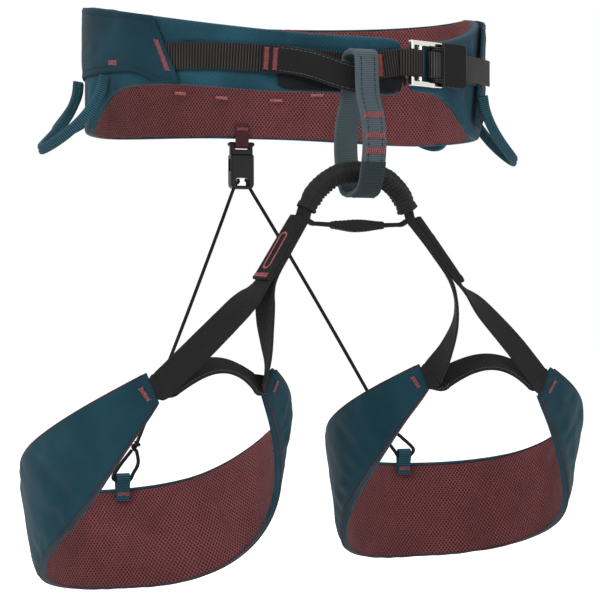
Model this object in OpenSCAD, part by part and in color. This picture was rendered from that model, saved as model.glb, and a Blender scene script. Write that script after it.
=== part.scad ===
// Sit harness for climbing: a padded waist belt, two padded leg loops, and the webbing, buckles and
// cords that join them. Millimetres. +Z is up and the wearer faces -Y. The origin is the middle of the
// waist opening, level with the waist webbing at the front. Right and left are the wearer's: the
// wearer's right is -X. Angles round the waist start at the front and grow towards the right hip and
// the back. Leg parts are drawn for the left leg and mirrored for the right one.

/* [Waist belt] */
// Half the width of the waist ring, to the middle of its padding
waist_rx = 155; // [150:1:160]
// Half the depth of the waist ring, to the middle of its padding
waist_ry = 112; // [109:1:115]
// Thickness of the waist padding, shell and liner included
waist_pad_t = 8; // [7.4:0.2:8.6]
// Height of the belt's top edge at the front
waist_top_front = 22; // [19:1:25]
// How much higher the top edge is behind the hips
waist_top_rise = 31; // [24:1:34]
// Depth of the belt's bottom edge behind the hips
waist_drop = 46; // [40:1:50]
// Width of the gap between the belt's two padded ends
opening_gap = 6; // [5:0.5:9]

/* [Webbing] */
// Width of the waist and leg webbing
web_w = 20; // [18:0.5:21]
// Thickness of one layer of webbing
web_t = 2; // [1.7:0.1:2.1]

/* [Belay loop] */
// Width of the belay loop's webbing
belay_w = 18; // [16:0.5:20]
// Thickness of the belay loop's layered webbing
belay_t = 4; // [3.4:0.1:4.2]
// Half the distance between the belay loop's strands, centre to centre
belay_half = 26; // [24:0.5:27]

/* [Leg loops] */
// Radius of each leg ring, to the middle of its padding
leg_r = 93; // [88:1:96]
// Thickness of the leg padding, shell and liner included
leg_pad_t = 7; // [6.6:0.2:7.6]
// Height of the leg padding behind the thigh
leg_pad_h = 76; // [70:1:80]
// How far the top edge of the leg padding leans out past its bottom edge
leg_flare = 13; // [8:1:16]

/* [Gear loops] */
// Width of a gear loop's strip
gear_w = 8; // [7:0.5:9]
// Thickness of a gear loop's strip
gear_t = 5; // [4:0.5:5.5]

/* [Rear risers] */
// Diameter of the elastic riser cord
cord_d = 3; // [2.6:0.1:3.2]

/* [Hidden] */

teal = [0.12, 0.27, 0.34];
teal_light = [0.2, 0.38, 0.45];
mesh_red = [0.42, 0.2, 0.2];
web_black = [0.11, 0.11, 0.11];
loop_grey = [0.24, 0.3, 0.33];
silver = [0.83, 0.81, 0.74];
plastic = [0.15, 0.16, 0.18];

air = 0.1;         // gap between pieces that lie on each other
skin_t = 1.2;      // thickness of the shell and liner fabrics
core_t = 1.6;      // thickness of the webbing inside the padding

// ---------------------------------------------------------------- curves and sweeps

function unit(v) = v / norm(v);
function mix(a, b, t) = a + (b - a) * t;
function clamp01(t) = max(0, min(1, t));
function smooth(t) = let (c = clamp01(t)) c * c * (3 - 2 * c);
function range_of(a, b, steps) = [for (i = [0:steps]) mix(a, b, i / steps)];

// Point at share t of the way along a smooth curve through the points p.
function curve_point(p, t) =
    let (
        n = len(p) - 1,
        s = min(n - 1e-6, clamp01(t) * n),
        i = floor(s),
        u = s - i,
        b = p[i],
        c = p[i + 1],
        a = i > 0 ? p[i - 1] : 2 * b - c,
        d = i + 2 <= n ? p[i + 2] : 2 * c - b
    )
    0.5 * (2 * b + (c - a) * u + (2 * a - 5 * b + 4 * c - d) * u * u + (3 * b - a - 3 * c + d) * u * u * u);

function curve(p, steps) = [for (t = range_of(0, 1, steps)) curve_point(p, t)];

function tangents(p) =
    let (n = len(p) - 1)
    [for (i = [0:n]) unit(p[min(n, i + 1)] - p[max(0, i - 1)])];

// Rings of a profile, given as [across, out] pairs, carried along path. The profile's first
// direction follows the directions in wide, squared to the path.
function carried(path, wide, profile) =
    let (along = tangents(path))
    [for (i = [0:len(path) - 1])
        let (
            flat = unit(wide[i] - along[i] * (wide[i] * along[i])),
            out = cross(along[i], flat)
        )
        [for (q = profile) path[i] + flat * q[0] + out * q[1]]
    ];

function flat_profile(w, t) = [[w, t] / 2, [w, -t] / 2, [-w, -t] / 2, [-w, t] / 2];
function oval_profile(w, t, n) = [for (k = [0:n - 1]) [cos(360 * k / n) * w / 2, -sin(360 * k / n) * t / 2]];

// Side faces between n + 1 rings of m points, counted from the point first. With mirrored set, the
// second half of each ring is cut along its other diagonals, so that both halves are cut alike.
function ring_sides(n, m, first, mirrored = false) =
    [for (i = [0:n - 1], k = [0:m - 1])
        let (a = first + i * m + k, b = first + i * m + (k + 1) % m)
        each (mirrored && k >= m / 2 ? [[a, b, a + m], [b, b + m, a + m]] : [[a, b, b + m], [a, b + m, a + m]])];

// Closed solid through a list of rings that all have the same number of points.
module sweep(rings, mirrored = false) {
    m = len(rings[0]);
    n = len(rings) - 1;
    polyhedron(
        points = [for (r = rings) each r],
        faces = concat(
            ring_sides(n, m, 0, mirrored),
            [for (k = [1:m - 2]) [0, k + 1, k]],
            [for (k = [1:m - 2]) [n * m, n * m + k, n * m + k + 1]]
        ),
        convexity = 8
    );
}

// Open-ended sleeve between a list of outer rings and a list of inner ones.
module sleeve(outer, inner) {
    m = len(outer[0]);
    n = len(outer) - 1;
    all = (n + 1) * m;
    ends = [for (k = [0:m - 1]) let (j = (k + 1) % m, e = n * m)
        each [
            [k, all + j, j], [k, all + k, all + j],
            [e + k, e + j, e + all + j], [e + k, e + all + j, e + all + k]
        ]];
    polyhedron(
        points = concat([for (r = outer) each r], [for (r = inner) each r]),
        faces = concat(ring_sides(n, m, 0), [for (f = ring_sides(n, m, all)) [f[0], f[2], f[1]]], ends),
        convexity = 8
    );
}

// Loop without ends through a list of rings.
module closed_sweep(rings) {
    m = len(rings[0]);
    n = len(rings);
    polyhedron(
        points = [for (r = rings) each r],
        faces = [for (i = [0:n - 1], k = [0:m - 1])
            let (a = i * m + k, b = i * m + (k + 1) % m, next = ((i + 1) % n) * m)
            each [[a, b, next + (k + 1) % m], [a, next + (k + 1) % m, next + k]]],
        convexity = 8
    );
}

module strip(path, wide, w, t) { sweep(carried(path, wide, flat_profile(w, t))); }

// ---------------------------------------------------------------- waist ring

waist_shift = 4;         // the ring sits this far towards the right hip, away from the buckle
function waist_xy(phi) = [-waist_shift - waist_rx * sin(phi), -waist_ry * cos(phi)];
function waist_out(phi) = unit([-waist_ry * sin(phi), -waist_rx * cos(phi)]);
function waist_point(phi, off, z) =
    let (p = waist_xy(phi) + waist_out(phi) * off)
    [p[0], p[1], z];
// Degrees round the ring for a length of belt near angle phi
function waist_degrees(phi, length) = length / norm(waist_xy(phi + 0.5) - waist_xy(phi - 0.5));

opening_angle = -20.5;
opening_half = waist_degrees(opening_angle, opening_gap / 2);
belt_start = opening_angle + opening_half;
belt_end = 360 + opening_angle - opening_half;

function waist_top(phi) =
    waist_top_front + waist_top_rise * (smooth(phi / 120) - smooth((phi - 270) / 64));
// The bottom edge is high over the thighs and low behind the hips.
function waist_bottom(phi) =
    -21 + 6 * smooth((phi - 15) / 40) - (waist_drop - 15) * smooth((phi - 66) / 34)
    + 7 * (smooth((phi - 120) / 60) - smooth((phi - 190) / 60))
    + (waist_drop - 17) * smooth((phi - 298) / 32);

end_round = 5;   // degrees over which the corners of a padded end are rounded
end_corner = 7;  // how much of the height a rounded corner takes away
function corner_cut(phi) =
    let (d = clamp01(min(phi - belt_start, belt_end - phi) / end_round))
    end_corner * (1 - sqrt(1 - (1 - d) * (1 - d)));

function waist_wall(angles, inner, outer, high, low) =
    [for (i = [0:len(angles) - 1])
        [
            waist_point(angles[i], outer, high[i]),
            waist_point(angles[i], inner, high[i]),
            waist_point(angles[i], inner, low[i]),
            waist_point(angles[i], outer, low[i])
        ]
    ];

belt_angles = concat(
    range_of(belt_start, belt_start + end_round, 5),
    range_of(belt_start + end_round + 5, belt_end - end_round - 5, 50),
    range_of(belt_end - end_round, belt_end, 5)
);

module waist_layer(inner, outer, edge) {
    sweep(waist_wall(
        belt_angles, inner, outer,
        [for (phi = belt_angles) waist_top(phi) - corner_cut(phi) - edge],
        [for (phi = belt_angles) waist_bottom(phi) + corner_cut(phi) + edge]
    ));
}

half_pad = waist_pad_t / 2;
waist_core_out = half_pad - skin_t - air;
module waist_shell() { color(teal) waist_layer(half_pad - skin_t, half_pad, 0); }
module waist_foam() { color("dimgray") waist_layer(-half_pad + skin_t + air, waist_core_out - core_t - air, 1); }
module waist_liner() { color(mesh_red) waist_layer(-half_pad, -half_pad + skin_t, 0); }

// Load-bearing webbing inside the belt, from hip to hip round the back
core_start = 46;
core_end = 302;
module waist_core_web() {
    angles = [for (phi = belt_angles) if (phi > core_start && phi < core_end) phi];
    color(web_black) sweep(waist_wall(
        angles, waist_core_out - core_t, waist_core_out,
        [for (phi = angles) web_mid(phi) + web_w / 2],
        [for (phi = angles) web_mid(phi) - web_w / 2]
    ));
}

// Side panels: smooth fabric over the shell that hides where the waist webbing starts
panel_t = 1.2;
panel_steps = 24;
panel_low_z = -4;     // bottom edge of a panel along the hip, where the gear loops come out
seam_right = 50;      // the panel's front seam
seam_left = 303;
seam_lean = 9;        // degrees by which the seam leans forwards from top to bottom
lean_room = 0.7;      // extra room under the leaning part of a panel
function panel_lift(from_seam) =
    half_pad + air + (web_t + air) * (1 - smooth((from_seam - 12) / 10))
    + lean_room * (1 - smooth((from_seam - 14) / 16));

// One panel from its seam to the back, with steps of turn in degrees from the seam.
module side_panel(seam, way, reach) {
    rings = [for (d = range_of(0, reach, panel_steps))
        let (
            lean = way * seam_lean * (1 - smooth(d / 30)),
            phi = seam + way * d,
            off = panel_lift(d),
            high = waist_top(phi + lean / 2) - 0.5,
            low = mix(waist_bottom(phi - lean) + 0.5, panel_low_z, smooth((d - 4) / 12))
        )
        [
            waist_point(phi + lean / 2, off + panel_t, high),
            waist_point(phi + lean / 2, off, high),
            waist_point(phi - lean / 2, off, low),
            waist_point(phi - lean / 2, off + panel_t, low)
        ]
    ];
    color(teal) sweep(way > 0 ? rings : [for (r = rings) [r[1], r[0], r[3], r[2]]]);
}
module side_panel_right() { side_panel(seam_right, 1, 78); }
module side_panel_left() { side_panel(seam_left, -1, 62); }

// ---------------------------------------------------------------- waist webbing and buckle

function web_mid(phi) =
    let (d = phi > 180 ? 360 - phi : abs(phi))
    5 * smooth(d / 45) - 1 * smooth((20 - d) / 20);
web_off = half_pad + air + web_t / 2;     // middle of webbing that lies on the shell
up = [0, 0, 1];

buckle_phi = -29.5;
buckle_z = 3.5;
buckle_out = [waist_out(buckle_phi)[0], waist_out(buckle_phi)[1], 0];
buckle_x = cross(buckle_out, up) * -1;    // along the belt, towards the left hip
buckle_foot = waist_point(buckle_phi, 0, buckle_z);
function buckle_point(x, o) = buckle_foot + buckle_x * x + buckle_out * o;
module at_buckle() {
    translate(buckle_foot) rotate([0, 0, atan2(buckle_x[1], buckle_x[0])]) children();
}

bar_d = 3;              // cross bars of the buckle
anchor_bar_x = -18;     // silver frame's bar, held by the waist webbing
thread_bar_x = -3.4;    // black plate's bar, which is also its pivot
bar_o = 8.4;            // distance of both bars from the middle of the padding
wrap_r = bar_d / 2 + air + web_t / 2;
arm_z = web_w / 2 + 1;  // inner face of the plate's arms
arm_h = 2;
rail_z = arm_z + arm_h + 0.5;
rail_h = 3;
rail_t = 3;
rail_start = -28;
rail_end = 5;
pin_d = 2.4;
pin_gap = 0.2;
plate_start = 2;
plate_end = 27;
plate_o = 12.7;         // inner face of the plate's cover
plate_t = 2.2;
plate_round = 4;

// Half turn of webbing round a bar at bar_x, on the side facing way
function bar_wrap(bar_x, way, start, stop) =
    [for (a = range_of(start, stop, 6)) buckle_point(bar_x + way * wrap_r * cos(a), bar_o + wrap_r * sin(a))];

module waist_webbing() {
    path = concat(
        [for (phi = range_of(seam_right + 8, -9, 20)) waist_point(phi, web_off, web_mid(phi))],
        [buckle_point(-34, 4)],
        bar_wrap(anchor_bar_x, 1, -80, 90),
        [buckle_point(-26, bar_o + wrap_r - 0.8), buckle_point(-32, 7.4), buckle_point(-36, 5.2)]
    );
    color(web_black) strip(path, [for (p = path) up], web_w, web_t);
}

tail_end = -63;
module threaded_webbing() {
    strap_z = web_mid(60);
    path = concat(
        [for (phi = range_of(seam_left - 360 - 8, -39, 10)) waist_point(phi, web_off, buckle_z)],
        [buckle_point(14, bar_o - wrap_r - 0.6)],
        bar_wrap(thread_bar_x, -1, -90, 90),
        [buckle_point(4, bar_o + wrap_r), buckle_point(18, 9.6), buckle_point(28, 8)],
        [for (phi = range_of(-44, tail_end, 8))
            waist_point(phi, 8.2 + 4 * smooth((-44 - phi) / 22), mix(buckle_z, strap_z, 0.5))]
    );
    color(web_black) strip(path, [for (p = path) up], web_w, web_t);
}

// Tilting silver frame: two rails, the bar that the waist webbing holds, and short turned-in lips
module buckle_frame() {
    lip_h = 3.2;
    color(silver) at_buckle() difference() {
        union() {
            for (side = [-1, 1]) {
                translate([rail_start, -bar_o - rail_t / 2, side > 0 ? rail_z : -rail_z - rail_h])
                    cube([rail_end - rail_start, rail_t, rail_h]);
                translate([rail_start, -bar_o - rail_t / 2, side > 0 ? rail_z - lip_h : -rail_z])
                    cube([2.4, rail_t, lip_h]);
            }
            translate([anchor_bar_x, -bar_o, -rail_z - 1]) cylinder(d = bar_d, h = 2 * rail_z + 2, $fn = 32);
        }
        translate([thread_bar_x, -bar_o, -rail_z - rail_h - 1])
            cylinder(d = pin_d + 2 * pin_gap, h = 2 * (rail_z + rail_h + 1), $fn = 32);
    }
}

// Black plate that pivots on its own bar and covers the threaded webbing
module plate_outline() {
    half = rail_z + rail_h;
    translate([plate_start, -half]) square([plate_end - plate_round - plate_start, 2 * half]);
    translate([plate_end - plate_round, plate_round - half]) square([plate_round, 2 * (half - plate_round)]);
    for (side = [-1, 1])
        translate([plate_end - plate_round, side * (half - plate_round)]) circle(plate_round, $fn = 48);
}
module buckle_plate() {
    arm_len = plate_start - thread_bar_x + 5;
    color(web_black) at_buckle() {
        translate([0, -plate_o, 0]) rotate([90, 0, 0]) linear_extrude(plate_t) plate_outline();
        for (side = [0, 1]) mirror([0, 0, side])
            translate([thread_bar_x - 2, -plate_o - 0.5, arm_z]) cube([arm_len, plate_o - bar_o + 2.5, arm_h]);
        translate([thread_bar_x, -bar_o, -arm_z - 0.5]) cylinder(d = bar_d, h = 2 * arm_z + 1, $fn = 32);
        translate([thread_bar_x, -bar_o, -rail_z - rail_h])
            cylinder(d = pin_d, h = 2 * (rail_z + rail_h), $fn = 32);
    }
}

// ---------------------------------------------------------------- tie-in and belay loops

tie_start = 20;
tie_end = -8.4;
tie_bulge = 17;          // how far the tie-in loop stands off the webbing under it
tie_dip = 11;
tie_w = 20;
tie_skew = 2.05;         // above 1, the loop stands off most near the belay loop
tie_room = 0.95;         // gap between the webbing and the loop's sewn ends
tie_foot = 0.08;         // share of the span by which each sewn end runs on
module tie_in_loop() {
    path = [for (s = range_of(-tie_foot, 1 + tie_foot, 28))
        let (phi = mix(tie_start, tie_end, s), rise = s < 0 || s > 1 ? 0 : pow(sin(180 * pow(s, tie_skew)), 0.9))
        waist_point(phi, web_off + web_t + tie_room + tie_bulge * rise, web_mid(phi) - tie_dip * pow(rise, 1.6))];
    color(web_black) strip(path, [for (p = path) up], tie_w, web_t);
}

belay_y = -waist_ry - web_off - web_t - air - tie_bulge;
belay_top = 9.4;
belay_bottom = -98;
module belay_loop() {
    neck = 12.2;            // half the distance between the strands where they pass the tie-in loop
    low = 13;
    top = belay_top - belay_t / 2;
    bottom = belay_bottom + belay_t / 2;
    half = [
        [0, top], [neck - 2.4, top - 2.2], [neck, top - 8], [neck + 2, -24], [belay_half - 3, -42],
        [belay_half, -58], [belay_half - 2, -74], [low + 4, bottom + 5], [low - 6, bottom + 0.6], [0, bottom]
    ];
    side = curve(half, 24);
    loop = concat(
        [for (i = [0:23]) [0, belay_y - side[i][0], side[i][1]]],
        [for (i = [0:23]) [0, belay_y + side[24 - i][0], side[24 - i][1]]]
    );
    n = len(loop);
    profile = flat_profile(belay_w, belay_t);
    color(loop_grey) closed_sweep([for (i = [0:n - 1])
        let (
            along = unit(loop[(i + 1) % n] - loop[(i + n - 1) % n]),
            across = [1, 0, 0],
            out = cross(along, across)
        )
        [for (q = profile) loop[i] + across * q[0] + out * q[1]]]);
}

// ---------------------------------------------------------------- gear loops

gear_z = -6;             // height of the gear loops' ends
gear_off = half_pad + panel_t + air + gear_t / 2 + 0.6;
// Loop of stiffened strip from the belt at angle a to angle b, hanging reach mm out and drop mm down.
// Its first end starts lift mm further out and dip mm lower than the other end.
module gear_loop(a, b, reach, drop, lift = 0, dip = 0) {
    path = [for (s = range_of(0, 1, 28))
        let (
            swing = sin(180 * s),
            phi = mix(a, b, s),
            first = pow(1 - s, 2),
            off = gear_off + lift * first + reach * pow(swing, 1.6)
        )
        waist_point(phi, off, gear_z - dip * first - drop * pow(swing, 0.8))];
    wide = [for (s = range_of(0, 1, 28)) let (phi = mix(a, b, s))
        mix([waist_out(phi)[0], waist_out(phi)[1], 0], up, 0.5 + 0.3 * sin(180 * s))];
    color(teal_light) sweep(carried(path, wide, oval_profile(gear_w, gear_t, 8)));
}
module gear_loop_front_right() { gear_loop(74, 101, 34, 54); }
module gear_loop_rear_right() { gear_loop(107, 134, 28, 36); }
module gear_loop_front_left() { gear_loop(-54, -96, 22, 54, 4, 9); }
module gear_loop_rear_left() { gear_loop(-103, -131, 20, 38); }

// ---------------------------------------------------------------- leg loop bridge

bridge_x = 42;           // half the bridge's span
bridge_y = -131;
bridge_low = -110;
bridge_top = -79.5;
bridge_pts = [
    [-bridge_x, bridge_y, bridge_low], [-bridge_x + 10, bridge_y - 1, bridge_low + 17],
    [-17, bridge_y - 3, bridge_top - 3], [0, bridge_y - 4, bridge_top], [17, bridge_y - 3, bridge_top - 3],
    [bridge_x - 10, bridge_y - 1, bridge_low + 17], [bridge_x, bridge_y, bridge_low]
];
module bridge_webbing() {
    path = curve(bridge_pts, 24);
    color(web_black) strip(path, [for (p = path) [0, 1, 0.05]], 7, 3.4);
}
module bridge_sleeve() {
    path = [for (t = range_of(0.03, 0.97, 22)) curve_point(bridge_pts, t)];
    wide = [for (p = path) [0, 1, 0.05]];
    color(web_black) sleeve(carried(path, wide, oval_profile(12.5, 11, 10)), carried(path, wide, oval_profile(9.4, 6.4, 10)));
}
keeper_z = -117;
module bridge_keeper() {
    reach = 35;
    color(web_black) {
        path = curve([[-reach, bridge_y, keeper_z], [-14, bridge_y, keeper_z - 1], [0, bridge_y, keeper_z - 1.4],
            [14, bridge_y, keeper_z - 1], [reach, bridge_y, keeper_z]], 16);
        sweep([for (i = [0:16])
            let (thick = 3 + 3 * smooth(1 - abs(i - 8) / 7), p = path[i])
            [p + [0, -4, thick / 2], p + [0, 4, thick / 2], p + [0, 4, -thick / 2], p + [0, -4, -thick / 2]]]);
    }
}

// ---------------------------------------------------------------- leg loops

leg_cx = 124;
leg_cy = -41;
leg_out_end = 20;        // padded end on the outer side, in degrees from the front
leg_in_end = 320;        // padded end on the inner side, past the back
leg_mid_z = [-233, -297, -336, -349, -339, -292, -229];
leg_height = [0.31, 0.86, 0.96, 1, 1.01, 0.8, 0.27];
function leg_share(a) = (a - leg_out_end) / (leg_in_end - leg_out_end);
function leg_z(a) = curve_point(leg_mid_z, leg_share(a));
function leg_h(a) = leg_pad_h * curve_point(leg_height, leg_share(a));
function leg_point(a, off, z) = [leg_cx + (leg_r + off) * sin(a), leg_cy - (leg_r + off) * cos(a), z];
function leg_length(degrees) = leg_r * degrees * PI / 180;
function leg_slope(a) = atan2(leg_z(a + 2) - leg_z(a - 2), leg_length(4));
// Point on the leaning band: rise mm above its middle line, measured square to that line.
function leg_band_point(a, off, rise) =
    let (slope = leg_slope(a), turn = -rise * sin(slope) / leg_length(1))
    leg_point(a + turn, off + leg_flare * rise / leg_pad_h, leg_z(a) + rise * cos(slope));

leg_angles = range_of(leg_out_end, leg_in_end, 40);
function core_rise(a) = min(web_w / 2, leg_h(a) / 2 - 2);
// Band of the leg ring between two offsets. All bands share the same corners, so none cut each other.
module leg_layer(inner, outer, rises) {
    n = len(rises(0)) - 1;
    sweep([for (a = leg_angles)
        let (up_down = rises(a))
        concat(
            [for (k = [0:n]) leg_band_point(a, outer, up_down[k])],
            [for (k = [0:n]) leg_band_point(a, inner, up_down[n - k])]
        )], mirrored = true);
}
full_rises = function (a) [leg_h(a) / 2, core_rise(a), -core_rise(a), -leg_h(a) / 2];
core_rises = function (a) [core_rise(a), -core_rise(a)];

leg_half = leg_pad_t / 2;
leg_core_out = leg_half - skin_t - air;
module leg_shell() { color(teal) leg_layer(leg_half - skin_t, leg_half, full_rises); }
module leg_core_web() { color(web_black) leg_layer(leg_core_out - core_t, leg_core_out, core_rises); }
module leg_foam() {
    color("dimgray") leg_layer(-leg_half + skin_t + air, leg_core_out - core_t - air, full_rises);
}
module leg_liner() { color(mesh_red) leg_layer(-leg_half, -leg_half + skin_t, full_rises); }

split = [76, -140, -161];
strap_top = [bridge_x + 1, bridge_y, bridge_low - 4];
join_wide = [0.37, 0.92, 0.06];       // width direction of the straps above the split
layer = web_t / 2 + 0.5;          // how far each of two stacked layers sits from their middle
apart = [0.927, -0.375, 0];           // direction from the inner layer to the outer one
foot_gap = 3.4;                       // degrees between a strap's end and the padding's end
outer_foot = leg_point(leg_out_end - foot_gap, 1.2, leg_z(leg_out_end) + 1.2);
inner_foot = leg_point(leg_in_end + foot_gap, 1.2, leg_z(leg_in_end) + 1.2);

// Each leg loop hangs from its end of the bridge, swung back by tilt degrees.
tilt_right = -2.6;
tilt_left = 1.2;
pivot = [bridge_x, bridge_y, bridge_low];
function swung(p, tilt) =
    let (d = p - pivot)
    pivot + [d[0], d[1] * cos(tilt) - d[2] * sin(tilt), d[1] * sin(tilt) + d[2] * cos(tilt)];
module hang_right() {
    mirror([1, 0, 0]) translate(pivot) rotate([tilt_right, 0, 0]) translate(-pivot) children();
}
module hang_left() { translate(pivot) rotate([tilt_left, 0, 0]) translate(-pivot) children(); }

module leg_strap_outer() {
    path = curve([
        strap_top + apart * layer, [59, -136, -136] + apart * layer, split + apart * (layer + 1.3),
        [96, -141.5, -178], [124, -139, -205], outer_foot
    ], 22);
    wide = curve([join_wide, join_wide, join_wide, [0.6, 0.6, 0.5], [0.62, 0.38, 0.7], [0.6, 0.25, 0.75]], 22);
    color(web_black) strip(path, wide, web_w, web_t);
}
module leg_strap_inner() {
    path = curve([
        strap_top - apart * layer, [59, -136, -136] - apart * layer, split - apart * (layer + 1.3),
        [76, -140, -186], [72, -131, -210], inner_foot
    ], 22);
    wide = curve([join_wide, join_wide, join_wide, [0.3, 0.9, 0.2], [0, 0.85, 0.5], [-0.4, 0.45, 0.8]], 22);
    color(web_black) strip(path, wide, web_w, web_t);
}
module leg_front_strap() {
    start = leg_out_end - 7;
    stop = leg_in_end - 360 + 7;
    path = [for (a = range_of(start, stop, 16))
        let (s = (a - stop) / (start - stop))
        leg_point(a, -2.4, -232 + 14 * sin(180 * s))];
    wide = [for (a = range_of(start, stop, 16))
        let (s = (a - stop) / (start - stop), lean = 20 + 32 * sin(180 * s), d = [-sin(a), cos(a), 0])
        d * sin(lean) + up * cos(lean)];
    color(web_black) strip(path, wide, web_w * 0.9, web_t);
}

// ---------------------------------------------------------------- rear risers

tab_a = 181;
tab_w = 11;
tab_rise = 11.8;
tab_t = 1.4;
tab_foot = leg_band_point(tab_a, -leg_half - air - tab_t / 2 - 0.5, leg_h(tab_a) / 2);
// Folded tab: both ends stand on the inside of the padding and the fold holds the cord
module leg_rear_tab() {
    path = curve([
        tab_foot + [0, -1.5, -9], tab_foot, tab_foot + [0, 0, tab_rise - 3],
        tab_foot + [0, -2.6, tab_rise], tab_foot + [0, -5.2, tab_rise - 3], tab_foot + [0, -3.6, 0],
        tab_foot + [0, -3.4, -9]
    ], 24);
    color(teal_light) strip(path, [for (p = path) [1, 0, 0]], tab_w, tab_t);
}

riser_y = waist_ry - half_pad + 1.3;    // middle of the riser buckle's thickness
riser_top = -41.8;       // top edge of the riser buckle
plug_w = 19;
plug_t = 4.4;
plug_h = 10.2;
slot_w = 12.4;
slot_h = 3.2;
bar_h = 2.8;
tongue_w = 5;
tongue_t = 2.6;
tongue_h = 15;
prong_w = 2;
prong_h = 13;
prong_x = 5.6;           // outer face of a prong where it is straight
socket_top = riser_top - plug_h - 0.3;
socket_w = 19.6;
socket_t = 8;
socket_h = 28;
socket_round = 4;
cavity_w = 13.4;
cavity_t = 4.4;
cavity_h = 17;
window_h = 7;
cord_hole_w = 11;
cord_hole_h = 6.5;
foot_h = 2.6;            // bar below the cord hole
riser_web_w = 11.6;
riser_web_t = 1.4;

module riser_tab() {
    y = waist_ry - half_pad - 0.5 - riser_web_t / 2;   // clear of the liner, which curves across the tab
    z = riser_top - bar_h;
    back_y = riser_y + 2.1;
    path = curve([
        [0, y, waist_bottom(180) + 12], [0, y, riser_top], [0, y, z + 0.2],
        [0, riser_y, z - 1.7], [0, back_y, z + 0.2], [0, back_y, riser_top + 0.4]
    ], 20);
    color(mesh_red) strip(path, [for (p = path) [1, 0, 0]], riser_web_w, riser_web_t);
}

// Upper half of the riser buckle: a bar for the tab, and a tongue that guides it into the socket
module riser_plug() {
    bar_t = 2.2;
    color(plastic) translate([0, riser_y, riser_top]) {
        translate([-plug_w / 2, -bar_t / 2, -bar_h]) cube([plug_w, bar_t, bar_h]);
        for (side = [0, 1]) mirror([side, 0, 0]) {
            translate([slot_w / 2, -plug_t / 2, -plug_h]) cube([(plug_w - slot_w) / 2, plug_t, plug_h]);
            translate([plug_w / 2, -plug_t / 2, -1.6]) rotate([-90, 0, 0]) cylinder(r = 1.6, h = plug_t, $fn = 32);
        }
        translate([-plug_w / 2, -plug_t / 2, -plug_h]) cube([plug_w, plug_t, plug_h - bar_h - slot_h]);
        translate([-tongue_w / 2, -tongue_t / 2, -plug_h - tongue_h]) cube([tongue_w, tongue_t, tongue_h + 1]);
    }
}

// Two springy prongs, moulded on the plug, that catch in the socket's windows
module riser_prongs() {
    barb = 2.6;
    color(plastic) translate([0, riser_y, riser_top - plug_h - air])
        for (side = [0, 1]) mirror([side, 0, 0]) rotate([90, 0, 0])
            linear_extrude(tongue_t, center = true)
                polygon([
                    [prong_x - prong_w, 0], [prong_x - prong_w, -prong_h + 2], [prong_x, -prong_h],
                    [prong_x + barb, -prong_h + window_h - 1], [prong_x + barb, -prong_h + window_h + 1],
                    [prong_x, -prong_h + window_h + 2], [prong_x, 0]
                ]);
}

// Lower half: hollow body with a window each side for the prongs and a hole that holds the cord
module riser_socket() {
    color(plastic) translate([0, riser_y, socket_top]) difference() {
        rotate([90, 0, 0]) linear_extrude(socket_t, center = true) {
            translate([-socket_w / 2, -socket_h + socket_round]) square([socket_w, socket_h - socket_round]);
            translate([-socket_w / 2 + socket_round, -socket_h]) square([socket_w - 2 * socket_round, socket_round]);
            for (side = [-1, 1])
                translate([side * (socket_w / 2 - socket_round), -socket_h + socket_round])
                    circle(socket_round, $fn = 48);
        }
        translate([-cavity_w / 2, -cavity_t / 2, -cavity_h]) cube([cavity_w, cavity_t, cavity_h + 1]);
        translate([-socket_w / 2 - 1, -cavity_t / 2, -prong_h - 0.5])
            cube([socket_w + 2, cavity_t, window_h + 3]);
        translate([-cord_hole_w / 2, -socket_t / 2 - 1, -socket_h + foot_h])
            cube([cord_hole_w, socket_t + 2, cord_hole_h]);
    }
}

// Elastic cord of the left side: one run from the buckle down to a knot, and a loop through the tab.
knot_r = 3;
knot_len = 9;
knot_up = 30;            // distance of the knot from the tab
cord_top = [3, riser_y, socket_top - socket_h + foot_h + cord_hole_h / 2];
cord_front = [6, riser_y - socket_t / 2 - cord_d / 2 - 0.6, cord_top[2] - 4];

function cord_rings(path, radii) =
    let (along = tangents(path))
    [for (i = [0:len(path) - 1])
        let (flat = unit(cross(along[i], [0.2, 1, 0.1])), out = cross(along[i], flat))
        [for (k = [0:7]) path[i] + radii[i] * (flat * cos(45 * k) - out * sin(45 * k))]
    ];

module riser_cord(tilt) {
    r = cord_d / 2;
    foot = swung(tab_foot + [0, -2.6, tab_rise - 4.9], tilt);
    way = unit(cord_front - foot);
    knot = foot + way * knot_up;
    run = concat(
        curve([cord_top, cord_top + [0.8, -4, 0.4], cord_front, cord_front - way * 12], 9),
        [for (t = range_of(0.1, 1, 12)) mix(cord_front, knot + way * knot_len / 2, t) + [0, -3 * sin(180 * t), 0]],
        [for (t = range_of(0.12, 1, 7)) knot + way * knot_len * (0.5 - t)]
    );
    n = len(run);
    radii = [for (i = [0:n - 1]) i < n - 8 ? r : r + (knot_r - r) * pow(sin(180 * (i - n + 8.6) / 8.2), 0.6)];
    below = knot - way * (knot_len / 2 + 0.3);
    side_x = tab_w / 2 + cord_d / 2 + 0.8;
    bow = mix(below, foot, 0.55);
    loop = curve([
        below + [-1.9, 0, 0], bow + [-side_x + 1, 0, 0], foot + [-side_x, 0, 3], foot + [-side_x + 2.4, 0, 0],
        foot, foot + [side_x - 2.2, 0, 0], foot + [side_x + 0.8, 0, 5], bow + [side_x, 0, 1], below + [1.9, 0, 0]
    ], 30);
    color(web_black) {
        sweep(cord_rings(run, radii));
        sweep(cord_rings(loop, [for (p = loop) r]));
    }
}

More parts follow.
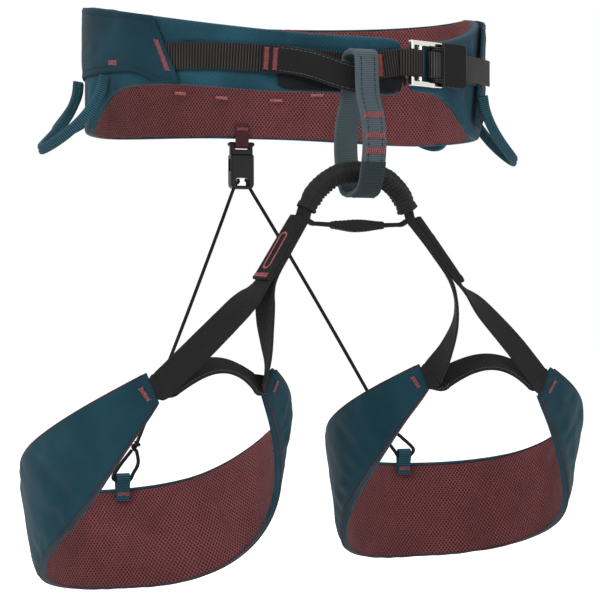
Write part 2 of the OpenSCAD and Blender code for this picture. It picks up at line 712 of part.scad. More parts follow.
waist_shell();
waist_core_web();
waist_foam();
waist_liner();
side_panel_right();
side_panel_left();
waist_webbing();
threaded_webbing();
buckle_frame();
buckle_plate();
tie_in_loop();
belay_loop();
gear_loop_front_right();
gear_loop_rear_right();
gear_loop_front_left();
gear_loop_rear_left();
bridge_webbing();
bridge_sleeve();
bridge_keeper();
hang_right() leg_strap_outer();  // leg_strap_outer_right
hang_right() leg_strap_inner();  // leg_strap_inner_right
hang_right() leg_front_strap();  // leg_front_strap_right
hang_right() leg_shell();  // leg_shell_right
hang_right() leg_core_web();  // leg_core_web_right
hang_right() leg_foam();  // leg_foam_right
hang_right() leg_liner();  // leg_liner_right
hang_right() leg_rear_tab();  // leg_rear_tab_right
hang_left() leg_strap_outer();  // leg_strap_outer_left
hang_left() leg_strap_inner();  // leg_strap_inner_left
hang_left() leg_front_strap();  // leg_front_strap_left
hang_left() leg_shell();  // leg_shell_left
hang_left() leg_core_web();  // leg_core_web_left
hang_left() leg_foam();  // leg_foam_left
hang_left() leg_liner();  // leg_liner_left
hang_left() leg_rear_tab();  // leg_rear_tab_left
riser_tab();
riser_plug();
riser_prongs();
riser_socket();
mirror([1, 0, 0]) riser_cord(tilt_right);  // riser_cord_right
riser_cord(tilt_left);  // riser_cord_left
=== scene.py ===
"""Looks of a climbing harness: padded fabric, ribbed webbing, stitching, metal and plastic."""

import math
import random

import bmesh
import bpy
import numpy as np
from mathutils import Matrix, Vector, noise


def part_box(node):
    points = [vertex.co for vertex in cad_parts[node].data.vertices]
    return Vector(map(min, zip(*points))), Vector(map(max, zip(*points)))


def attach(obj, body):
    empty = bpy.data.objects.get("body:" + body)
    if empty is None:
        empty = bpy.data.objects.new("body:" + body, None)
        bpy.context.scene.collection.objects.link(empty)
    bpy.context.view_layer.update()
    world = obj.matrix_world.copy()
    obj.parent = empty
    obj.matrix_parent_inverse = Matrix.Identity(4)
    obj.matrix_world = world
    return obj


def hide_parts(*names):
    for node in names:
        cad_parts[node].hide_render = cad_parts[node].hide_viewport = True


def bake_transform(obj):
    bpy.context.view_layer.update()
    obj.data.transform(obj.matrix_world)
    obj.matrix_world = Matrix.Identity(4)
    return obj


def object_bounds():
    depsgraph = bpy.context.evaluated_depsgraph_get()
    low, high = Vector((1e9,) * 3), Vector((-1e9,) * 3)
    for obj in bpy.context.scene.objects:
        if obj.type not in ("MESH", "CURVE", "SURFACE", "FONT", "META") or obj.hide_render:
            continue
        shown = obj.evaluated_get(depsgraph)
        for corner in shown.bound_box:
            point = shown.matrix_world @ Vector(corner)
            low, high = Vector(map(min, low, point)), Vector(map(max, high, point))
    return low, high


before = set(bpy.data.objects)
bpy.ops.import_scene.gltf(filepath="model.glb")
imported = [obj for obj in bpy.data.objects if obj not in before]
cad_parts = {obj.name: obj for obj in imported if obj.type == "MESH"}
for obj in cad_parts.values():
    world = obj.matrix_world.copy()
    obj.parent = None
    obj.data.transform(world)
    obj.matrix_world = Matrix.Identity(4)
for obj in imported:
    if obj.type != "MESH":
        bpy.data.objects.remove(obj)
cad_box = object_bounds()
MM = 0.001
UP = np.array([0.0, 0.0, 1.0])
FRONT = np.array([0.0, -1.0, 0.0])
BACK = -FRONT
LEFT_HIP = np.array([1.0, 0.0, 0.0])
RIGHT_HIP = -LEFT_HIP
random.seed(7)


# ---------------------------------------------------------------- small helpers

CURVE_STEPS = 12          # points on a curve between two of the places it passes through


def norms(v):
    return np.linalg.norm(v, axis=-1)


def unit(v):
    v = np.asarray(v, float)
    return v / np.maximum(norms(v)[..., None], 1e-12)


def smooth(t):
    t = np.clip(t, 0.0, 1.0)
    return t * t * (3 - 2 * t)


def mix(a, b, t):
    return a + (b - a) * t


def bell(distance, width):
    """1 at no distance, falling to nothing within about two widths."""
    return np.exp(-(distance / width) ** 2)


def read(spots, known, rows):
    """Rows of numbers known at some spots, read at other spots between them."""
    return np.stack([np.interp(spots, known, column) for column in np.asarray(rows).T], axis=-1)


def lengths(points):
    """Distance along a list of points, from the first."""
    return np.concatenate([[0.0], np.cumsum(norms(np.diff(points, axis=0)))])


def curve(points, count):
    """Smooth curve through points, any number of columns, at count evenly spaced shares of its length."""
    p = np.asarray(points, float)
    p = np.vstack([2 * p[0] - p[1], p, 2 * p[-1] - p[-2]])
    t = np.linspace(0, 1, CURVE_STEPS, endpoint=False)[:, None]
    fine = []
    for a, b, c, d in zip(p[:-3], p[1:-2], p[2:-1], p[3:]):
        bend = (2 * a - 5 * b + 4 * c - d) * t ** 2 + (3 * b - a - 3 * c + d) * t ** 3
        fine.append(0.5 * (2 * b + (c - a) * t + bend))
    fine = np.vstack(fine + [p[-2:-1]])
    along = lengths(fine[:, :3])
    return read(np.linspace(0, along[-1], count), along, fine)


def tangents(points):
    return unit(np.gradient(points, axis=0))


def placed(piece, body, slot=None, *nodes):
    """Ties a piece to its body and hides the CAD nodes that it replaces. slot is not used."""
    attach(piece, body)
    if nodes:
        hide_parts(*nodes)


# ---------------------------------------------------------------- reading swept shapes from the frame

WELD = 0.02 * MM
CAP_TURNS = (20, 12, 30, 45)     # degrees between the faces of one end cap, tried in turn
SHARP = math.radians(60)
STRIP_CORNERS = (4, 12)          # fewest and most corners in one ring of a strip
SLEEVE_CORNERS = (13, 24)


def welded(node):
    """A CAD node's mesh with its doubled corners joined, and the places of those corners."""
    mesh = bmesh.new()
    mesh.from_mesh(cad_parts[node].data)
    bmesh.ops.remove_doubles(mesh, verts=mesh.verts, dist=WELD)
    mesh.verts.index_update()
    mesh.faces.index_update()
    mesh.verts.ensure_lookup_table()
    return mesh, np.array([v.co for v in mesh.verts], float)


def flat_groups(mesh, limit):
    """Faces joined across edges that turn less than limit."""
    seen = set()
    groups = []
    for face in mesh.faces:
        if face.index in seen:
            continue
        seen.add(face.index)
        stack, group = [face], []
        while stack:
            here = stack.pop()
            group.append(here)
            flat = [edge for edge in here.edges if edge.calc_face_angle(math.pi) < limit]
            for other in (other for edge in flat for other in edge.link_faces):
                if other.index not in seen:
                    seen.add(other.index)
                    stack.append(other)
        groups.append(group)
    return groups


def layers_from(mesh, seed):
    """Rings of corners met in walking from a seed ring, or None if they don't all hold as many corners."""
    seen = set(seed)
    layers = [list(seed)]
    while len(seen) < len(mesh.verts):
        near = {e.other_vert(mesh.verts[i]).index for i in layers[-1] for e in mesh.verts[i].link_edges}
        near = sorted(near - seen)
        if len(near) != len(seed):
            return None
        seen.update(near)
        layers.append(near)
    return layers


def walked(node, corners):
    """A swept CAD node's mesh, its corners' places, and its rings of corners as met from one end cap."""
    mesh, place = welded(node)
    for turn in CAP_TURNS:
        for group in flat_groups(mesh, math.radians(turn)):
            seed = sorted({v.index for face in group for v in face.verts})
            layers = layers_from(mesh, seed) if corners[0] <= len(seed) <= corners[1] else None
            if layers and len(layers) > 2:
                return mesh, place, layers
    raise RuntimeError(f"{node} isn't a swept shape")


def cycle_of(mesh, members):
    """The corners of one ring, in order round it."""
    members = set(members)
    beside = {index: [] for index in members}
    for index in sorted(members):
        for edge in mesh.verts[index].link_edges:
            other = edge.other_vert(mesh.verts[index]).index
            leaves_ring = any(v.index not in members for face in edge.link_faces for v in face.verts)
            if other in members and leaves_ring:
                beside[index].append(other)
    start = min(members)
    cycle = [start, min(beside[start])]
    while len(cycle) < len(members):
        cycle.append(next(i for i in beside[cycle[-1]] if i != cycle[-2]))
    return cycle


def rings_of(node):
    """The rings of corners that a swept CAD node was made from, in order, as an array [ring, corner, xyz]."""
    mesh, place, layers = walked(node, STRIP_CORNERS)
    rings = [place[cycle_of(mesh, layers[0])]]
    for layer in layers[1:]:
        ring = place[cycle_of(mesh, layer)]
        turns = [np.roll(way, -k, axis=0) for way in (ring, ring[::-1]) for k in range(len(ring))]
        rings.append(min(turns, key=lambda turn: norms(turn - rings[-1]).sum()))
    return np.array(rings)


def closed_rings(node):
    """The four long edges of a closed loop of strip, as an array [ring, corner, xyz]."""
    mesh, place = welded(node)
    beside = {}
    for edge in mesh.edges:
        if edge.calc_face_angle(0) > SHARP:
            a, b = (v.index for v in edge.verts)
            beside.setdefault(a, []).append(b)
            beside.setdefault(b, []).append(a)
    loops, left = [], set(beside)
    while left:
        loop = [min(left)]
        while loop[-1] in left:
            left.discard(loop[-1])
            loop.append(min((i for i in beside[loop[-1]] if i in left), default=loop[0]))
        loops.append(place[loop[:-1]])
    first = loops[0]
    for number, loop in enumerate(loops[1:], 1):
        loop = np.roll(loop, -int(np.argmin(norms(loop - first[0]))), axis=0)
        if norms(loop[1] - first[1]) > norms(loop[-1] - first[1]):
            loop = np.roll(loop[::-1], 1, axis=0)
        loops[number] = loop
    return np.stack(loops, axis=1)


def turned(rings, outward, upward, at):
    """Rings whose corners are outer high, outer low, inner low and inner high, as seen at one of them."""
    if norms(rings[at, 0] - rings[at, 1]) < norms(rings[at, 1] - rings[at, 2]):
        rings = np.roll(rings, -1, axis=1)
    if np.dot(rings[at, 0] + rings[at, 1] - rings[at, 2] - rings[at, 3], outward) < 0:
        rings = np.roll(rings, 2, axis=1)
    if np.dot(rings[at, 0] - rings[at, 1], upward) < 0:
        rings = rings[:, [1, 0, 3, 2]]
    return rings


RIBBON_STEP = 0.5 * MM
KEPT_PLACES = 40          # places of a ribbon that are kept when it is extended


class Ribbon:
    """A flat strip: its middle line, directions across it (towards high) and out of it, and its size."""

    def __init__(self, rows, step=RIBBON_STEP):
        """From rows of eleven numbers: middle, across, out, width and thickness."""
        rows = curve(rows, max(8, int(lengths(rows[:, :3])[-1] / step)))
        self.middle = rows[:, :3]
        self.s = lengths(self.middle)
        self.length = self.s[-1]
        along = tangents(self.middle)
        self.across, self.out = (unit(way - along * np.sum(way * along, axis=1)[:, None])
                                 for way in (rows[:, 3:6], rows[:, 6:9]))
        self.width, self.thick = rows[:, 9], rows[:, 10]

    def extended(self, before, after):
        """The ribbon with more places, each (middle, across, out), before its start and after its end."""
        last = len(self.s) - 1
        rows = np.column_stack([self.middle, self.across, self.out, self.width, self.thick])
        kept = [*range(0, last - 3, max(1, len(self.s) // KEPT_PLACES)), last]
        before = [[*np.ravel(place), self.width[0], self.thick[0]] for place in before]
        after = [[*np.ravel(place), self.width[-1], self.thick[-1]] for place in after]
        return Ribbon(np.array([*before, *rows[kept], *after]), self.s[1])

    def scaled(self, wide, thick=((0, 1),)):
        """Scales its width and thickness by shares, each a list of (distance, share)."""
        self.width = self.width * np.interp(self.s, *zip(*wide))
        self.thick = self.thick * np.interp(self.s, *zip(*thick))

    def at(self, s):
        """Middle point, across, out, width and thickness at distance s from the start."""
        middle, across, out = (read(s, self.s, rows) for rows in (self.middle, self.across, self.out))
        width, thick = (np.interp(s, self.s, sizes) for sizes in (self.width, self.thick))
        return middle, unit(across), unit(out), width, thick

    def face(self, s, v, lift):
        """Point on the outer face, v from the middle line, lift above the face."""
        middle, across, out, _, thick = self.at(s)
        return middle + across * v + out * (thick / 2 + lift)


def ribbon_from(rings):
    """A ribbon through rings of corners in the order that turned() gives."""
    a, b, c, d = rings.transpose(1, 0, 2)
    across = (a + d - b - c) / 2
    out = (a + b - c - d) / 2
    return Ribbon(np.column_stack([rings.mean(axis=1), unit(across), unit(out), norms(across), norms(out)]))


def strap(node, outward, upward, at=0.5):
    """A ribbon read from a CAD node, its sides told apart by two hints that hold at a share of its length."""
    rings = rings_of(node)
    return ribbon_from(turned(rings, outward, upward, max(1, int(at * (len(rings) - 1)))))


def nearest(ribbon, point):
    """Distance along a ribbon of its middle point closest to a place."""
    return ribbon.s[int(np.argmin(norms(ribbon.middle - np.asarray(point))))]


# ---------------------------------------------------------------- meshes and stitches

THREAD_SIDES = 6
THREAD_END = np.array([[0, 1, 2, 3], [0, 3, 4, 5]])
STITCH = 0.2 * MM         # radius of a sewing thread
TACK = 0.22 * MM          # radius of a bar tack's thread
STITCH_LENGTH = 2.4 * MM
STITCH_GAP = 0.9 * MM
STITCH_LIFT = 0.15 * MM
STITCH_RISE = (-0.25, 0.8, 1.0, 0.8, -0.25)
ZIGZAG_LIFT = 0.2 * MM
ZIGZAG_SPREAD = 0.16      # how unevenly a zigzag's turns are placed
TACK_PITCH = 1.9 * MM


def new_object(name, vertices, faces, uv=None, materials=(), face_material=None):
    mesh = bpy.data.meshes.new(name)
    mesh.from_pydata([tuple(v) for v in vertices], [], [tuple(int(i) for i in f) for f in faces])
    if uv is not None:
        layer = mesh.uv_layers.new(name="UVMap")
        corner = np.zeros(len(mesh.loops), np.int32)
        mesh.loops.foreach_get("vertex_index", corner)
        layer.data.foreach_set("uv", np.asarray(uv, np.float32)[corner].ravel())
    for material in materials:
        mesh.materials.append(material)
    if face_material is not None:
        mesh.polygons.foreach_set("material_index", np.asarray(face_material, np.int32))
    mesh.polygons.foreach_set("use_smooth", np.ones(len(mesh.polygons), bool))
    mesh.update()
    piece = bpy.data.objects.new(name, mesh)
    bpy.context.scene.collection.objects.link(piece)
    return piece


def grid_faces(rows, columns, closed_rows=False):
    """Quads of a grid of rows by columns of points, closed along its columns."""
    i, j = np.meshgrid(np.arange(rows if closed_rows else rows - 1), np.arange(columns), indexing="ij")
    here, there = i * columns, (i + 1) % rows * columns
    after = (j + 1) % columns
    return np.stack([here + j, here + after, there + after, there + j], axis=-1).reshape(-1, 4)


def fix_normals(piece):
    mesh = bmesh.new()
    mesh.from_mesh(piece.data)
    bmesh.ops.recalc_face_normals(mesh, faces=mesh.faces)
    mesh.to_mesh(piece.data)
    mesh.free()


def unrolled(u, v, shape):
    """Texture places of a grid of points, u along it and v across it."""
    return np.stack([np.broadcast_to(axis, shape) for axis in (u[:, None], v)], axis=-1).reshape(-1, 2)


def loft(name, grid, u, v, material, closed_rows=False, capped=True):
    """A skin with lids through rings of points, grid [ring, point, xyz], u along it and v round it."""
    rows, columns = grid.shape[:2]
    faces = [list(f) for f in grid_faces(rows, columns, closed_rows)]
    if capped and not closed_rows:
        faces.append(list(range(columns))[::-1])
        faces.append([(rows - 1) * columns + k for k in range(columns)])
    piece = new_object(name, grid.reshape(-1, 3), faces, unrolled(u, v, grid.shape[:2]), [material])
    fix_normals(piece)
    return piece


def circle(count):
    """Cosines and sines of count even turns."""
    turn = np.linspace(0, 2 * math.pi, count, endpoint=False)
    return np.cos(turn), np.sin(turn)


def swept(middle, across, out, wide, high):
    """Rings of points round a path, wide across it and high out of it."""
    return middle[:, None] + across[:, None] * wide[..., None] + out[:, None] * high[..., None]


def frames_along(points):
    """Two directions square to a path that don't twist along it."""
    along = tangents(points)
    side = np.cross(along[0], UP if abs(along[0][2]) < 0.9 else LEFT_HIP)
    sides = []
    for way in along:
        side = unit(side - way * np.dot(side, way))
        sides.append(side)
    return np.array(sides), np.cross(along, sides)


def tube(points, radius, sides):
    """Rings of points round a path, distance along it, and distance round it from the seam."""
    cos, sin = circle(sides)
    grid = swept(points, *frames_along(points), radius * cos, radius * sin)
    return grid, lengths(points), np.abs(np.linspace(-1, 1, sides, endpoint=False)) * math.pi * radius


def sew(name, lines, radius, material, body):
    """One piece made of many threads, each a list of points."""
    vertices, faces, uv, base = [], [], [], 0
    for line in lines:
        grid, u, v = tube(np.asarray(line, float), radius, THREAD_SIDES)
        last = base + (len(line) - 1) * THREAD_SIDES
        vertices.append(grid.reshape(-1, 3))
        uv.append(unrolled(u, v, grid.shape[:2]))
        faces += [grid_faces(len(line), THREAD_SIDES) + base, THREAD_END + base, THREAD_END[:, ::-1] + last]
        base = last + THREAD_SIDES
    placed(new_object(name, np.vstack(vertices), np.vstack(faces), np.vstack(uv), [material]), body)


def running_stitch(face, a, b, stitch=STITCH_LENGTH, gap=STITCH_GAP):
    """Stitches from a to b, both (s, v) on a face, as short threads that dive in at their ends."""
    a, b = np.array(a, float), np.array(b, float)
    length = norms(b - a)
    lines = []
    for k in range(max(1, int(length / (stitch + gap)))):
        shares = (np.linspace(0, stitch, len(STITCH_RISE)) + k * (stitch + gap)) / length
        dive = zip(shares, STITCH_RISE)
        lines.append([face(*mix(a, b, share), rise * STITCH_LIFT) for share, rise in dive])
    return lines


def zigzag(face, path, width, pitch):
    """Two threads that cross a path, a list of (s, v) on a face, from side to side in each pitch."""
    path = np.asarray(path, float)
    along = lengths(path)
    count = max(3, int(along[-1] / pitch * 2))
    place = read(np.linspace(0, along[-1], count), along, path)
    way = unit(np.gradient(place, axis=0))
    square = np.stack([-way[:, 1], way[:, 0]], axis=1)
    lines = []
    for start, low, high in ((1, 0.2, 1.0), (-1, 0.5, 1.6)):
        line = []
        for k in range(count):
            side = start if k % 2 else -start
            swing = side * width / 2 * (1 + random.uniform(-ZIGZAG_SPREAD, ZIGZAG_SPREAD))
            line.append(face(*(place[k] + square[k] * swing), low * ZIGZAG_LIFT))
            if k < count - 1:
                line.append(face(*((place[k] + place[k + 1]) / 2), high * ZIGZAG_LIFT))
        lines.append(line)
    return lines


def bar_tack(face, a, b, width, pitch=TACK_PITCH):
    """Dense zigzag of thread from a to b, both (s, v) on a face."""
    return zigzag(face, [mix(np.array(a), np.array(b), share) for share in (0, 0.5, 1)], width, pitch)


def stadium(s0, s1, v):
    """A long outline with round ends from s0 to s1, v to each side, as a list of (s, v)."""
    turn = np.linspace(-math.pi / 2, math.pi / 2, 9)
    far_end = [(s1 - v + v * math.cos(a), v * math.sin(a)) for a in turn]
    near_end = [(s0 + v - v * math.cos(a), -v * math.sin(a)) for a in turn]
    return far_end + near_end + far_end[:1]


# ---------------------------------------------------------------- materials

WORN_EDGE = 0.5 * MM


class Nodes:
    """A node tree written in a few short calls. A value is a number, a colour or another node's output."""

    def __init__(self, tree):
        self.tree = tree

    def put(self, socket, value):
        if isinstance(value, bpy.types.NodeSocket):
            self.tree.links.new(value, socket)
        else:
            socket.default_value = value

    def new(self, kind, values=(), **settings):
        """A node with some settings, and values for its inputs as pairs of (name or number, value)."""
        node = self.tree.nodes.new("ShaderNode" + kind)
        for key, value in settings.items():
            setattr(node, key, value)
        for key, value in values:
            self.put(node.inputs[key], value)
        return node

    def math(self, operation, *values):
        return self.new("Math", enumerate(values), operation=operation).outputs[0]

    def vector(self, operation, *values):
        node = self.new("VectorMath", enumerate(values), operation=operation)
        return node.outputs["Value" if operation == "LENGTH" else "Vector"]

    def blend(self, share, a, b):
        return self.new("Mix", ((0, share), (6, a), (7, b)), data_type="RGBA").outputs[2]

    def tint(self, tone, where, amount, color):
        """A tone moved by an amount towards a colour where a mask is 1."""
        return self.blend(self.math("MULTIPLY", where, amount), tone, color)

    def span(self, value, low, high, to_low=0.0, to_high=1.0):
        return self.new("MapRange", enumerate((value, low, high, to_low, to_high))).outputs[0]

    def sine(self, value, pitch):
        return self.math("SINE", self.math("MULTIPLY", value, math.pi / pitch))

    def wave(self, value, pitch):
        """0 to 1 and back once in each pitch."""
        sine = self.sine(value, pitch)
        return self.math("MULTIPLY", sine, sine)

    def bump(self, height, distance, strength=1.0, under=None):
        node = self.new("Bump", (("Height", height), ("Distance", distance), ("Strength", strength)))
        if under is not None:
            self.put(node.inputs["Normal"], under)
        return node.outputs["Normal"]


class Look(Nodes):
    """A material's nodes, with its places on the surface and in the object."""

    def __init__(self, name):
        self.material = bpy.data.materials.new(name)
        self.material.use_nodes = True
        super().__init__(self.material.node_tree)
        self.shader = next(n for n in self.tree.nodes if n.type == "BSDF_PRINCIPLED")
        places = self.new("TexCoord").outputs
        self.uv, self.place = places["UV"], places["Object"]

    def noise(self, scale, detail=3.0, stretch=(1, 1, 1)):
        place = self.vector("MULTIPLY", self.place, stretch)
        return self.new("TexNoise", (("Vector", place), ("Scale", scale), ("Detail", detail))).outputs["Fac"]

    def axis(self, index):
        """Distance along (0) or across (1) the surface."""
        return self.new("SeparateXYZ", [(0, self.uv)]).outputs[index]

    def weave(self, pitch):
        """Over and under of a plain weave."""
        over, under = (self.sine(self.axis(index), pitch) for index in (0, 1))
        return self.span(self.math("MULTIPLY", over, under), -1.0, 1.0)

    def edge(self):
        """1 on edges, where wear shows first, 0 on flat faces."""
        rounded = self.new("Bevel", [("Radius", WORN_EDGE)], samples=4).outputs[0]
        flat = self.new("NewGeometry").outputs["Normal"]
        return self.span(self.vector("LENGTH", self.vector("SUBTRACT", rounded, flat)), 0.12, 0.6)

    def done(self, color, roughness, normal, metallic=0.0, sheen=0.0, specular=0.5):
        values = {"Base Color": color, "Roughness": roughness, "Normal": normal, "Metallic": metallic,
                  "Sheen Weight": sheen, "Specular IOR Level": specular}
        for key, value in values.items():
            self.put(self.shader.inputs[key], value)
        return self.material


def rgb(r, g, b):
    """A linear colour from the 0 to 255 numbers of a screen colour."""
    linear = (c / 255 / 12.92 if c < 10 else ((c / 255 + 0.055) / 1.055) ** 2.4 for c in (r, g, b))
    return (*linear, 1.0)


SHADED = rgb(16, 30, 36)      # between the threads of a woven fabric


def woven_fabric(name, dark, light, pitch, relief=0.14 * MM):
    look = Look(name)
    patches = look.noise(28, 5)
    weave = look.weave(pitch)
    tone = look.blend(look.span(patches, 0.35, 0.68), dark, light)
    tone = look.tint(tone, look.math("SUBTRACT", 1.0, weave), 0.3, SHADED)
    normal = look.bump(weave, relief, 0.8, look.bump(patches, 0.6 * MM, 0.5))
    normal = look.bump(look.noise(900, 2), 0.08 * MM, 0.6, normal)
    return look.done(tone, look.span(patches, 0.3, 0.7, 0.62, 0.78), normal, sheen=0.05, specular=0.07)


def spacer_mesh(name, thread, hole_shade, pitch):
    """Knitted mesh with a staggered grid of small holes, which hold painted shade."""
    look = Look(name)
    row = pitch * 0.9 * 2 ** 0.5
    scaled = look.vector("DIVIDE", look.uv, (pitch, row, 1.0))
    gaps = []
    for shift in ((0.0, 0.0, 0.0), (0.5, 0.5, 0.0)):
        part = look.vector("FRACTION", look.vector("ADD", scaled, shift))
        part = look.vector("MULTIPLY", look.vector("SUBTRACT", part, (0.5, 0.5, 0.0)), (pitch, row, 0.0))
        gaps.append(look.vector("LENGTH", part))
    solid = look.span(look.math("MINIMUM", *gaps), 0.2 * pitch, 0.36 * pitch)
    patches = look.span(look.noise(35, 4), 0.3, 0.7)
    tone = look.blend(patches, thread, (*(c * 0.72 for c in thread[:3]), 1.0))
    # Painted shade: the holes get a dark colour instead of being cut.
    tone = look.blend(solid, hole_shade, tone)
    normal = look.bump(solid, 0.7 * MM, 1.0, look.bump(look.noise(1400, 2), 0.1 * MM, 0.6))
    return look.done(tone, 0.85, normal, sheen=0.04, specular=0.1)


def webbing_look(name, groove, crest, pitch):
    """Ribbed webbing with a painted highlight on its rib crests, painted shade in its grooves, and a small
    twill with painted shade between its threads. Gives its look and its pitch.
    """
    look = Look(name)
    rib_highlight = look.wave(look.axis(0), pitch)
    slant = look.math("ADD", look.axis(1), look.math("MULTIPLY", look.axis(0), 0.5))
    twill = look.wave(slant, 0.55 * MM)
    wear = look.noise(45, 5)
    # Painted light: crest is a painted highlight on each rib, and groove is painted shade in the grooves and
    # the twill's gaps. The wear noise varies the highlight and the roughness at random.
    top = look.math("MULTIPLY", look.span(rib_highlight, 0.35, 0.95), look.span(wear, 0.2, 0.75, 0.35, 1.0))
    tone = look.tint(look.blend(top, groove, crest), look.math("SUBTRACT", 1.0, twill), 0.35, groove)
    normal = look.bump(twill, 0.12 * MM, 0.8, look.bump(look.noise(1600, 2), 0.1 * MM, 0.7))
    return look.done(tone, look.span(wear, 0.3, 0.7, 0.66, 0.82), normal, sheen=0.03, specular=0.15), pitch


def thread_look(name, dark, light):
    look = Look(name)
    twist = look.wave(look.math("ADD", look.axis(0), look.axis(1)), 0.5 * MM)
    tone = look.tint(dark, twist, look.noise(300), light)
    return look.done(tone, 0.6, look.bump(twist, 0.06 * MM), specular=0.2)


def metal_look(name, color, worn, roughness, metallic=1.0):
    look = Look(name)
    brushed = look.noise(90, 4, (1, 1, 9))
    scratches = look.span(look.noise(500, 2, (8, 1, 1)), 0.66, 0.74)
    tone = look.tint(look.tint(color, look.edge(), 0.7, worn), scratches, 0.12, worn)
    rough = look.span(look.noise(60, 4), 0.3, 0.7, roughness * 0.8, roughness * 1.35)
    normal = look.bump(scratches, 0.01 * MM, 0.2, look.bump(brushed, 0.01 * MM, 0.2))
    return look.done(tone, rough, normal, metallic=metallic, specular=0.08)


def plastic_look(name, color, worn):
    look = Look(name)
    patches = look.noise(80, 4)
    tone = look.tint(look.tint(color, look.edge(), 0.6, worn), patches, 0.04, worn)
    normal = look.bump(look.noise(700, 3), 0.025 * MM, 0.5)
    return look.done(tone, look.span(patches, 0.3, 0.7, 0.14, 0.24), normal, specular=0.12)


def cord_look(name, dark, light):
    look = Look(name)
    u, v = look.axis(0), look.axis(1)
    left, right = (look.wave(look.math(way, u, v), 1.1 * MM) for way in ("ADD", "SUBTRACT"))
    braid = look.math("MULTIPLY", left, right)
    tone = look.tint(dark, braid, look.noise(200), light)
    return look.done(tone, 0.7, look.bump(braid, 0.25 * MM), specular=0.15)


def paper_look(name, color):
    look = Look(name)
    fine = look.noise(20, 4)
    tone = look.tint(color, fine, 0.04, (0.7, 0.7, 0.7, 1.0))
    seen = look.new("LightPath").outputs["Is Camera Ray"]
    look.put(look.shader.inputs["Emission Color"], tone)
    look.put(look.shader.inputs["Emission Strength"], look.span(seen, 0, 1, 0.3, 0.62))
    return look.done(tone, 0.9, look.bump(fine, 0.1 * MM, 0.2))


LOOP_PITCH = 1.3 * MM
GEAR_PITCH = 1.6 * MM
teal = woven_fabric("shell_fabric", rgb(15, 48, 59), rgb(22, 59, 71), 0.9 * MM)
teal_knit = woven_fabric("knit_fabric", rgb(19, 51, 63), rgb(30, 70, 84), 1.7 * MM, 0.3 * MM)
teal_edge = woven_fabric("edge_fabric", rgb(14, 46, 58), rgb(28, 68, 82), 0.8 * MM)
panel_fabric = woven_fabric("panel_fabric", rgb(9, 38, 49), rgb(20, 54, 66), 0.5 * MM)
burgundy = woven_fabric("binding_fabric", rgb(58, 28, 31), rgb(84, 46, 49), 0.7 * MM)
black_cloth = woven_fabric("black_cloth", rgb(6, 6, 6), rgb(24, 24, 24), 0.6 * MM)
liner_mesh = spacer_mesh("mesh_liner", rgb(124, 69, 71), rgb(66, 33, 35), 2.9 * MM)
# Each webbing's second colour is a painted highlight on its rib crests. Its first colour is the dark groove
# colour, with painted shade.
web_waist = webbing_look("waist_webbing_look", rgb(6, 6, 7), rgb(67, 63, 60), 2.1 * MM)
web_buckle = webbing_look("buckle_webbing_look", rgb(16, 16, 17), rgb(104, 101, 100), 1.55 * MM)
web_strap = webbing_look("strap_webbing_look", rgb(12, 12, 12), rgb(40, 40, 40), 1.1 * MM)
web_loop = webbing_look("loop_webbing", rgb(54, 66, 71), rgb(84, 98, 104), LOOP_PITCH)
# Darker copy of the loop webbing: painted shade for the lower front of the belay loop.
web_loop_shaded = webbing_look("loop_overlap_painted_shade", rgb(30, 39, 42), rgb(52, 63, 67), LOOP_PITCH)
sleeve_look, _ = webbing_look("sleeve_look", rgb(6, 6, 6), rgb(60, 59, 58), 0.9 * MM)
web_tie = webbing_look("tie_webbing_look", rgb(9, 9, 9), rgb(40, 39, 38), 0.9 * MM)
gear_look, _ = webbing_look("teal_webbing", rgb(17, 44, 54), rgb(54, 104, 120), GEAR_PITCH)
red_thread = thread_look("red_thread", rgb(138, 66, 72), rgb(206, 128, 130))
pale_thread = thread_look("pale_thread", rgb(168, 92, 96), rgb(232, 160, 160))
orange_thread = thread_look("orange_thread", rgb(168, 60, 44), rgb(222, 118, 92))
dark_thread = thread_look("dark_thread", rgb(8, 12, 15), rgb(30, 38, 42))
grey_thread = thread_look("grey_thread", rgb(60, 62, 64), rgb(120, 122, 124))
silver = metal_look("buckle_silver", (0.76, 0.74, 0.67, 1), (0.95, 0.94, 0.9, 1), 0.12)
black_metal = metal_look("buckle_black", (0.008, 0.008, 0.009, 1), (0.2, 0.2, 0.21, 1), 0.22, 0.0)
black_plastic = plastic_look("buckle_plastic", (0.004, 0.004, 0.005, 1), (0.04, 0.04, 0.045, 1))
cord = cord_look("elastic_cord", rgb(8, 8, 9), rgb(52, 52, 54))


# ---------------------------------------------------------------- padded fabric

PAD_STEP = 4.6 * MM
EDGE_STEPS = (0.0, 0.5 * MM, 1.6 * MM, 3.2 * MM, 5.4 * MM)     # columns beside a pad's long edges
END_SHARE = 0.55          # thickness share where a pad ends
START_SHARE = 0.8         # thickness share of a pad before it is blown up
SIM_FRAMES = 20
CLOTH = {"quality": 6, "mass": 0.25, "tension_stiffness": 12, "compression_stiffness": 9,
         "shear_stiffness": 4, "bending_stiffness": 0.4, "shrink_min": -0.05, "use_pressure": True,
         "uniform_pressure_force": 4.0}
PINNED_EDGE = 1.0 * MM    # cloth this near a long edge stays where it is
DRIFT = 2.0 * MM          # how far cloth may slide sideways
INNER_CAP = 5.0 * MM      # how far the liner may swell from the middle of a pad
PRESSED = 0.3 * MM        # how far webbing presses the cloth below the CAD solid's face
CREASE_DEPTH = 1.5 * MM
FULL_AT = 14 * MM         # cloth this far from an edge may swell to its cap
WRINKLE_FROM = 4 * MM     # wrinkles grow from this far from an edge
WRINKLE_RISE = 8 * MM
WRINKLE_SIZES = ((16 * MM, 1.0), (7 * MM, 0.6))     # size and share of each set of wrinkles


def four_corners(rings):
    """The rings with only the corners at the ends of their two shortest sides."""
    ref = rings[len(rings) // 2]
    short = np.argsort(norms(np.roll(ref, -1, axis=0) - ref))[:2]
    return rings[:, sorted({int(k) for s in short for k in (s, (s + 1) % len(ref))})]


